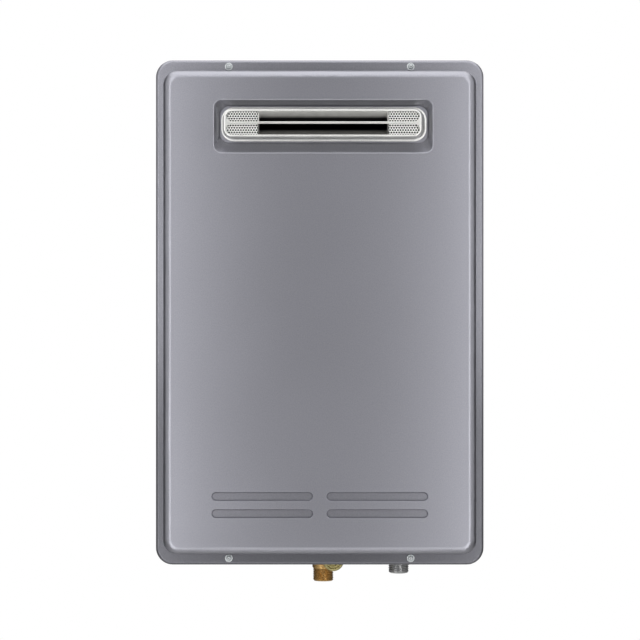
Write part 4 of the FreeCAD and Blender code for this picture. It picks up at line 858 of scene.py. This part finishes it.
def grid_tree(name, material):
    """Copies of the input piece on an upright grid of columns and rows."""
    tree, group = new_tree(name, {
        "Columns": "NodeSocketInt", "Rows": "NodeSocketInt", "Width": "NodeSocketFloat",
        "Height": "NodeSocketFloat", "Centre": "NodeSocketVector"})
    sizes = group.outputs
    grid = add(tree, "GeometryNodeMeshGrid",
               {"Size X": sizes["Width"], "Size Y": sizes["Height"],
                "Vertices X": sizes["Columns"], "Vertices Y": sizes["Rows"]})
    upright = add(tree, "GeometryNodeTransform",
                  {"Geometry": grid.outputs[0], "Translation": sizes["Centre"],
                   "Rotation": (math.radians(90), 0, 0)})
    copies = add(tree, "GeometryNodeInstanceOnPoints",
                 {"Points": upright.outputs[0], "Instance": sizes["Geometry"]})
    solid = add(tree, "GeometryNodeRealizeInstances", {0: copies.outputs[0]})
    final = add(tree, "GeometryNodeSetMaterial", {"Geometry": solid.outputs[0], "Material": material})
    add(tree, "NodeGroupOutput", {0: final.outputs[0]})
    return tree


def place_on_grid(piece, name, node, columns, rows, width, height, base_y):
    """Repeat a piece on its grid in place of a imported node."""
    grow(piece, grid_tree(name + "_grid", finish_of[node]),
         {"Columns": columns, "Rows": rows, "Width": width * MM, "Height": height * MM,
          "Centre": (0, base_y, 0)})
    piece.name = name
    smooth(piece)
    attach(piece, UNIT)
    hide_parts(node)
    print(name, len(piece.data.polygons), "faces")


heads_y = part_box("cover_screws")[0].y
place_on_grid(screw, "pan_head_screws", "cover_screws", columns=2, rows=2, width=screw_spacing_x,
              height=screw_spacing_z, base_y=heads_y + screw_head_height * MM)

# %% [markdown]
# ## Blind rivets
# Six blind rivets join the brackets to the case. Each head is a low dome with a small crater in it,
# where the mandrel snapped off. The dome is part of a ball, whose radius follows from the head's own
# radius and height, so an arc draws it and two more points draw the crater.

# %% Rivets
rivet_height = 1.4
rivet_radius = 4.5
crater_radius = 1.1
crater_floor_radius = 0.9
crater_floor = 0.7
rivet_shank_radius = 2.4
rivet_shank_length = 3.0
rivet_pitch_x = 60.0
rivet_spacing_z = 466.0
dome_radius = (rivet_radius ** 2 + rivet_height ** 2) / (2 * rivet_height)
dome_edge = math.degrees(math.acos(rivet_radius / dome_radius))
dome_start = math.degrees(math.acos(crater_radius / dome_radius))
crater = [(0, crater_floor), (crater_floor_radius, crater_floor)]
dome = arc((0, rivet_height - dome_radius), dome_radius, dome_start, dome_edge, 5)
rivet_shank = [(rivet_shank_radius, 0), (rivet_shank_radius, -rivet_shank_length),
               (0, -rivet_shank_length)]
bm = bmesh.new()
turned(bm, crater + dome + rivet_shank, (0, 0, 0))
domes_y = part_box("bracket_rivets")[0].y
place_on_grid(plain_object("rivet_blank", finished_mesh("blind_rivet", bm)), "blind_rivets",
              "bracket_rivets", columns=3, rows=2, width=2 * rivet_pitch_x, height=rivet_spacing_z,
              base_y=domes_y + rivet_height * MM)

# %% [markdown]
# ## The thread of a pipe fitting
# The fittings end in a parallel pipe thread: 14 turns to the inch, so a pitch of 1.814 mm. The real
# one is cut on a lathe. A profile swept along a helix can tangle where the thread runs out, so the skin
# is a fine net of points instead, and each point's radius follows from its height and its turn. The
# real thread is 1.16 mm deep. Eight rings to a turn can't follow its rounded roots, so it is drawn
# 0.8 mm deep.

# %% Threaded end
thread_pitch = 1.814
thread_depth = 0.8
thread_crest = 10.48
thread_chamfer = 1.2
thread_sides = 72
rings_per_pitch = 8
flank_slope = 1.35
crest_flat = 0.15


def thread_radius_at(along, turn, length, end_round):
    """The skin's radius on a helix, with a chamfer or a round at the free end."""
    phase = (along / thread_pitch + turn / (2 * math.pi)) % 1.0
    flank = abs(2 * phase - 1)
    depth = thread_depth * min(1.0, max(0.0, flank_slope * flank - crest_flat))
    fade = min(1.0, max(0.0, (length - along) / thread_pitch))
    limit = thread_crest - thread_chamfer + along
    if end_round:
        short = max(0.0, end_round - along)
        limit = thread_crest - end_round + math.sqrt(end_round ** 2 - short ** 2)
    return min(thread_crest - depth * fade, limit)


def upright_ring(bm, x, y, z, radii):
    """Points about an upright axis, one for each radius, evenly turned."""
    return [bm.verts.new(point_round((x * MM, y * MM, z * MM), radius * MM, 0,
                                     2 * math.pi * i / len(radii), "Z"))
            for i, radius in enumerate(radii)]


def threaded_end(bm, x, y, low, length, bore, end_round=0.0):
    """A threaded tube end that opens downwards, from its free end up."""
    rows = int(length / thread_pitch * rings_per_pitch)
    turns = [2 * math.pi * i / thread_sides for i in range(thread_sides)]
    rings = [upright_ring(bm, x, y, low + length, [bore] * thread_sides),
             upright_ring(bm, x, y, low, [bore] * thread_sides)]
    for row in range(rows + 1):
        along = length * row / rows
        radii = [thread_radius_at(along, turn, length, end_round) for turn in turns]
        rings.append(upright_ring(bm, x, y, low + along, radii))
    for first, second in zip(rings, rings[1:] + rings[:1]):
        for i in range(thread_sides):
            j = (i + 1) % thread_sides
            bm.faces.new([first[i], first[j], second[j], second[i]])


print("thread from", round(thread_crest - thread_depth, 2), "to", thread_crest, "mm in radius")

# %% [markdown]
# ## Cold-water fitting
# Below the case the brass inlet has its thread, a collar with a chamfered shoulder, and to the front
# a boss for the strainer. Those are turned here. The rest lies inside the case and stays a
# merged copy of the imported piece, trimmed and closed where the turned shapes begin.

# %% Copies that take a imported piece's place
def trimmed_copy(node, below):
    """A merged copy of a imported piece, with everything under a height cut away."""
    bm = bmesh.new()
    bm.from_mesh(nodes[node].data)
    bmesh.ops.remove_doubles(bm, verts=bm.verts, dist=weld_distance)
    parts = list(bm.verts) + list(bm.edges) + list(bm.faces)
    made = bmesh.ops.bisect_plane(bm, geom=parts, dist=cut_tolerance, plane_co=(0, 0, below * MM),
                                  plane_no=(0, 0, -1), clear_outer=True)
    rim = [part for part in made["geom_cut"] if isinstance(part, bmesh.types.BMEdge)]
    bmesh.ops.triangle_fill(bm, use_beauty=True, use_dissolve=False, edges=rim)
    return bm


def seat_fitting(bm, name, node):
    """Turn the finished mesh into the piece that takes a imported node's place."""
    piece = plain_object(name, finished_mesh(name, bm))
    piece.data.materials.append(finish_of[node])
    smooth(piece)
    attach(piece, UNIT)
    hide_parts(node)
    print(name, len(piece.data.polygons), "faces")


packed_inlet = nodes["cold_water_inlet"]
print("packed inlet", len(packed_inlet.data.polygons), "faces")

# %% Cold-water fitting
case_under = round(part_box("case_back_panel")[0].z / MM, 1)
gas_low, gas_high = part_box("gas_inlet")
fitting_y = round((gas_low.y + gas_high.y) / 2 / MM, 1)
inlet_x = 3.6
inlet_length = 13.8
inlet_bore = 8.0
boss_x = 13.9
boss_below = 11.2
boss_radius = 8.5
boss_bore = 5.8
boss_reach = 15
boss_floor = 4
inlet_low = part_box("cold_water_inlet")[0].z / MM
shoulder = inlet_low + inlet_length
collar_height = case_under - shoulder
bm = trimmed_copy("cold_water_inlet", case_under)
threaded_end(bm, inlet_x, fitting_y, inlet_low, inlet_length, inlet_bore)
inlet_collar = [(9.0, 0), (10.9, 0), (11.2, 0.4), (11.2, 3.4), (13.0, 5.2),
                (13.0, collar_height), (9.0, collar_height)]
turned(bm, inlet_collar, (inlet_x * MM, fitting_y * MM, shoulder * MM), sides=64, axis="Z",
       ring_shape=True)
boss = [(0, 0), (boss_radius, 0), (boss_radius, boss_reach), (boss_bore, boss_reach),
        (boss_bore, boss_floor), (0, boss_floor)]
turned(bm, boss, (boss_x * MM, fitting_y * MM, (case_under - boss_below) * MM), sides=48)
seat_fitting(bm, "cold_water_fitting", "cold_water_inlet")

# %% [markdown]
# ## Hot-water and gas fittings
# The other two fittings are a threaded end under a flat collar. The gas fitting's free end is
# rounded. Both are trimmed a tenth of a millimetre below the collar, so that the cut doesn't run
# along the collar's own underside.

# %% Hot-water and gas fittings
collar_thickness = 4.0
collar_under = case_under - collar_thickness
trim_gap = 0.1
fitting_bore = 7.0
hot_x = -80.0
gas_x = 81.3
gas_end_round = 3.0
for name, node, x, end_round in (("hot_water_fitting", "hot_water_outlet", hot_x, 0.0),
                                 ("gas_fitting", "gas_inlet", gas_x, gas_end_round)):
    free_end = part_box(node)[0].z / MM
    bm = trimmed_copy(node, collar_under - trim_gap)
    threaded_end(bm, x, fitting_y, free_end, collar_under - free_end, fitting_bore, end_round)
    seat_fitting(bm, name, node)
